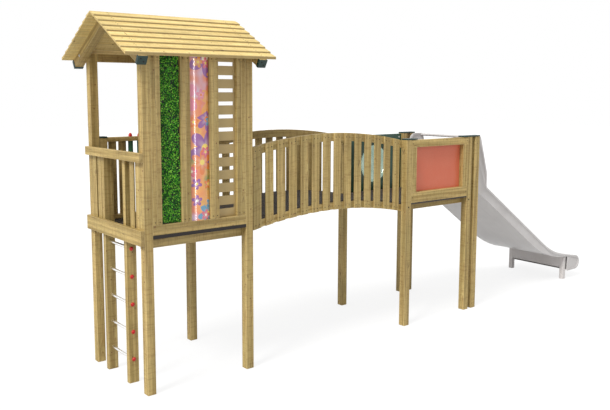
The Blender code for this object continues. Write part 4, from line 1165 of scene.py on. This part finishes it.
def make_low_tower():
    """Posts, bearers, the frame with its coral panel, the green panel with its window, and the caps."""
    posts = [f"low_post_{face}_{place}" for face in ("front", "back")
             for place in ("bridge", "inner", "outer")]
    whole_boards("low_posts", posts, "z", 81, LAMINATED)
    whole_boards("low_bearers", ["low_bearer_front", "low_bearer_back"], "x", 83)
    box = start, end = ends("coral_panel_frame")
    gap = Vector((PART_GAP, 0, PART_GAP))
    (left, _, bottom), (right, _, top) = low("coral_panel") - gap, high("coral_panel") + gap
    boards = [part_of(box, "x", z=span) for span in ((start.z, bottom), (top, end.z))]
    for span in ((start.x, left), (right, end.x)):
        boards.append(part_of(box, "z", x=span, z=(bottom + PART_GAP, top - PART_GAP)))
    pine("coral_frame_boards", boards, ["coral_panel_frame"], 85)
    skin("coral_panel", CORAL)
    skin("window_panel", PANEL_PLASTIC, width=0.002)
    skin("bubble_window", CLEAR)
    for name in ("low_cap_front_bridge", "low_cap_back_bridge", "low_cap_front_slide", "low_cap_back_slide",
                 "barrier_newel_cap"):
        skin(name, CAP_PLASTIC, width=0.003)


def make_slide():
    """The chute, and the two legs and the beam under its end."""
    skin("slide_chute", SLIDE, smooth_angle=28)
    box = start, end = ends("slide_leg_frame")
    leg = end.x - start.x
    top = end.z - leg * math.tan(CHUTE_EXIT_PITCH)
    boards = [part_of(box, "z", y=(y, y + leg), z=(0, top)) for y in (start.y, end.y - leg)]
    boards.append(part_of(box, "y", x=(start.x + LEG_BEAM_INSET, end.x - LEG_BEAM_INSET),
                          y=(start.y + leg, end.y - leg), z=(LEG_BEAM_BOTTOM, top)))
    timber("slide_legs", boards, LEG_PAINT, "slide_grey", ["slide_leg_frame"], seed=91)


# Fixings


def make_roof_fixings():
    """Bolts through the rafters into the posts, screws in the rafters' caps and in the roof boards."""
    bolts, screws, board_screws = [], [], []
    tip = abs(low("rafter_cap_front_left").y - RIDGE_Y)
    roof = high("roof_slope_front").z - ROOF_THIN_EDGE / ROOF_COSINE
    step = abs(low("roof_slope_front").y - RIDGE_Y) / ROOF_BOARD_COUNT
    for side, way in (("left", "-x"), ("right", "+x")):
        start, end = ends(f"gable_truss_{side}")
        face = start.x if side == "left" else end.x
        middle = (start.x + end.x) / 2
        for y in (CORNER.y + POST / 2, FAR_CORNER.y - POST / 2):
            z = end.z - ROOF_SLOPE * abs(y - RIDGE_Y) - RAFTER_DEPTH / 2 / ROOF_COSINE
            bolts.append(((face, y, z), way))
        for facing in (-1, 1):
            for across, down in ((-0.020, 0.028), (0.016, 0.062)):
                z = end.z - ROOF_SLOPE * tip - down * ROOF_COSINE
                place = (middle + across, RIDGE_Y + facing * (tip - down * ROOF_SINE), z)
                screws.append((place, (-facing * (math.pi / 2 + ROOF_PITCH), 0.0, 0.0)))
            for index in range(ROOF_BOARD_COUNT):
                for share in (0.3, 0.72):
                    away = (index + share) * step
                    thick = ROOF_THIN_EDGE + (ROOF_THICK_EDGE - ROOF_THIN_EDGE) * share
                    place = (middle, RIDGE_Y + facing * away, roof - ROOF_SLOPE * away + thick / ROOF_COSINE)
                    board_screws.append((place, (-facing * ROOF_PITCH, 0.0, 0.0)))
    fasteners("rafter_bolts", bolts, BOLT_STEEL, 0.019, 0.012, 0.010, head_sides=6)
    fasteners("cap_screws", screws, DARK_SCREW, 0.0085, 0.0075, 0.005)
    fasteners("roof_screws", board_screws, DARK_SCREW, 0.0045, 0.0042, 0.002)


def make_bridge_fixings():
    """Two screws where each slat crosses a rail, and two at each end of the bridge's boards."""
    arch = bridge_arch()

    def rise(x):
        drop = arch["arch_radius"] - math.sqrt(arch["arch_radius"] ** 2 - (x - arch["arch_middle"]) ** 2)
        return BRIDGE_RISE - drop

    start, end = ends("bridge_deck")
    lower_rail = start.z - BRIDGE_BEAM_HEIGHT / 2
    upper_rail = high("bridge_panel_front").z - BRIDGE_RISE - BRIDGE_RAIL_HEIGHT / 2
    spots = []
    for y, way in ((low("bridge_panel_front").y, "-y"), (high("bridge_panel_back").y, "+y")):
        for left in bridge_slat_starts():
            for share in (0.26, 0.74):
                x = left + share * BRIDGE_SLAT_WIDTH
                spots += spots_at([x], [y], (lower_rail + rise(x), upper_rail + rise(x)), way)
    pitch = (end.x - start.x) / BRIDGE_BOARD_COUNT
    surface = start.z + BRIDGE_BOARD_THICKNESS - 0.0005
    for index in range(BRIDGE_BOARD_COUNT):
        for share in (0.28, 0.72):
            x = start.x + (index + share) * pitch
            ys = (start.y + BRIDGE_SCREW_INSET, end.y - BRIDGE_SCREW_INSET)
            spots += spots_at([x], ys, [surface + rise(x)], "+z")
    fasteners("bridge_screws", spots, DARK_SCREW, 0.0055, 0.0050, 0.0025)


def make_deck_fixings():
    """Two screws at each end of the deck boards of both towers."""
    spots = []
    for name, count in (("tower_deck", TALL_DECK_BOARD_COUNT), ("low_deck", LOW_DECK_BOARD_COUNT)):
        start, end = ends(name)
        pitch = (end.x - start.x) / count
        xs = [start.x + (index + share) * pitch for index in range(1, count - 1) for share in (0.3, 0.7)]
        inset = POST + DECK_SCREW_INSET
        spots += spots_at(xs, (start.y + inset, end.y - inset), [end.z], "+z")
    fasteners("deck_screws", spots, STEEL, 0.0050, 0.0045, 0.0022)


def make_frame_fixings():
    """Bolts at the low posts, screws in the slats, wall and frame, and bolts round the green panel."""
    bolts, screws, pale = [], [], []
    for start, end in map(ends, ("low_post_front_bridge", "low_post_front_inner")):
        for y, way in ((start.y, "-y"), (FAR_CORNER.y, "+y")):
            bolts += spots_at([(start.x + end.x) / 2], [y], [DECK - 0.054], way)
    for start, end in map(ends, ("entry_slats_front", "entry_slats_back")):
        ys = [y + across for y in (start.y, end.y - ENTRY_SLAT_WIDTH) for across in (0.024, 0.066)]
        screws += spots_at([start.x], ys, (DECK + 0.035, end.z - 0.035), "-x")
    zs = (low("grass_panel").z + WALL_SCREW_INSET, high("grass_panel").z - WALL_SCREW_INSET)
    for left, right in wall_uprights():
        xs = [left + (right - left) * share for share in (0.25, 0.75)]
        screws += spots_at(xs, [low("wall_frame").y], zs, "-y")
    start, end = ends("coral_panel_frame")
    zs = ((start.z + low("coral_panel").z) / 2, (high("coral_panel").z + end.z) / 2)
    xs = (start.x + FRAME_SCREW_INSET, end.x - FRAME_SCREW_INSET)
    screws += spots_at(xs, [start.y], zs, "-y")
    start, end = ends("window_panel")
    xs = (start.x + PANEL_BOLT_INSET, (start.x + end.x) / 2, end.x - PANEL_BOLT_INSET)
    for y, way in ((start.y, "-y"), (end.y, "+y")):
        pale += spots_at(xs, [y], (start.z + PANEL_BOLT_INSET, end.z - PANEL_BOLT_INSET), way)
    fasteners("frame_bolts", bolts, DARK_SCREW, 0.011, 0.0080, 0.006, head_sides=6)
    fasteners("frame_screws", screws, DARK_SCREW, 0.0055, 0.0050, 0.0025)
    fasteners("panel_bolts", pale, BOLT_STEEL, 0.014, 0.010, 0.006)


# Stage, light and camera


def straight_rays(tree):
    """One for rays from the camera, also after a gloss or a clear part, and none for all others."""
    seen = signals(node(tree, "ShaderNodeLightPath"))
    rays = seen["Is Camera Ray"] + (seen["Is Glossy Ray"] + seen["Is Transmission Ray"])
    return calculate("MINIMUM", rays, 1.0)


def make_stage():
    """A pale floor that turns to plain white away from the object."""
    half = 60.0
    corners = ((-half, -half, 0), (half, -half, 0), (half, half, 0), (-half, half, 0))
    mesh = bpy.data.meshes.new("floor")
    mesh.from_pydata(corners, [], [(0, 1, 2, 3)])
    material, place = new_finish("pale floor", 0.9, specular_ior_level=0.0)
    floor = new_piece("floor", mesh, material)
    shader = shader_of(material)
    x, y, _ = split(place)
    factor = between(length(x, y), 5.0, 13.0, 0.72, 1.0) * straight_rays(place.tree)
    feed(shader, {"Base Color": blend(noise(place, 1.3, 3.0), (206, 206, 206), (202, 202, 202))})
    white = signal(place.tree, "ShaderNodeEmission", {"Color": (255, 255, 255), "Strength": 1.17})
    mixed = signal(place.tree, "ShaderNodeMixShader", {0: factor, 1: Signal(shader.outputs[0]), 2: white})
    feed(place.tree.nodes["Material Output"], {"Surface": mixed})


def make_light():
    world = bpy.data.worlds.new("studio")
    bpy.context.scene.world = world
    world.use_nodes = True
    strength = 0.72 + straight_rays(world.node_tree) * 0.28
    feed(world.node_tree.nodes["Background"], {"Color": (255, 255, 255), "Strength": strength})
    sun = bpy.data.lights.new("studio lamp", "SUN")
    sun.energy, sun.angle, sun.color = 2.85, math.radians(18), (1.0, 0.985, 0.955)
    to_lamp = Vector((-0.66, -0.16, 0.73))
    new_piece("studio lamp", sun).rotation_euler = to_lamp.to_track_quat("Z", "Y").to_euler()
    box = bpy.data.lights.new("strip box", "AREA")
    box.shape, box.size, box.size_y, box.energy = "RECTANGLE", 0.30, 4.5, 95.0
    strip = new_piece("strip box", box)
    strip.location = Vector((CORNER.x, CORNER.y, 0)) + Vector((1.0, -6.2, 2.9))
    strip.rotation_euler = (math.pi / 2, 0.0, 0.0)
    strip.visible_diffuse = False


def make_camera():
    lens = bpy.data.cameras.new("photo camera")
    lens.lens, lens.sensor_width = 43.72, 36.0
    lens.shift_x, lens.shift_y = 0.0344, -0.0381
    lens.clip_end = 300.0
    camera = new_piece("photo camera", lens)
    camera.location = Vector((CORNER.x, CORNER.y, 0)) + Vector((-3.3981, -6.7008, 3.1221))
    camera.rotation_euler = Euler((math.pi / 2 - 0.1181, 0.0, 0.9128 - math.pi / 2))
    bpy.context.scene.camera = camera
    bpy.context.scene.view_settings.view_transform = "Standard"


make_tower_timber()
make_wall()
make_turf()
skin("print_column", PRINT, smooth_angle=40)
skin("slotted_panel", PINE, width=0.0015)
make_entry()
make_ladder()
make_barrier()
make_decks()
make_roof()
make_bridge()
make_low_tower()
make_slide()
make_roof_fixings()
make_bridge_fixings()
make_deck_fixings()
make_frame_fixings()
make_stage()
make_light()
make_camera()
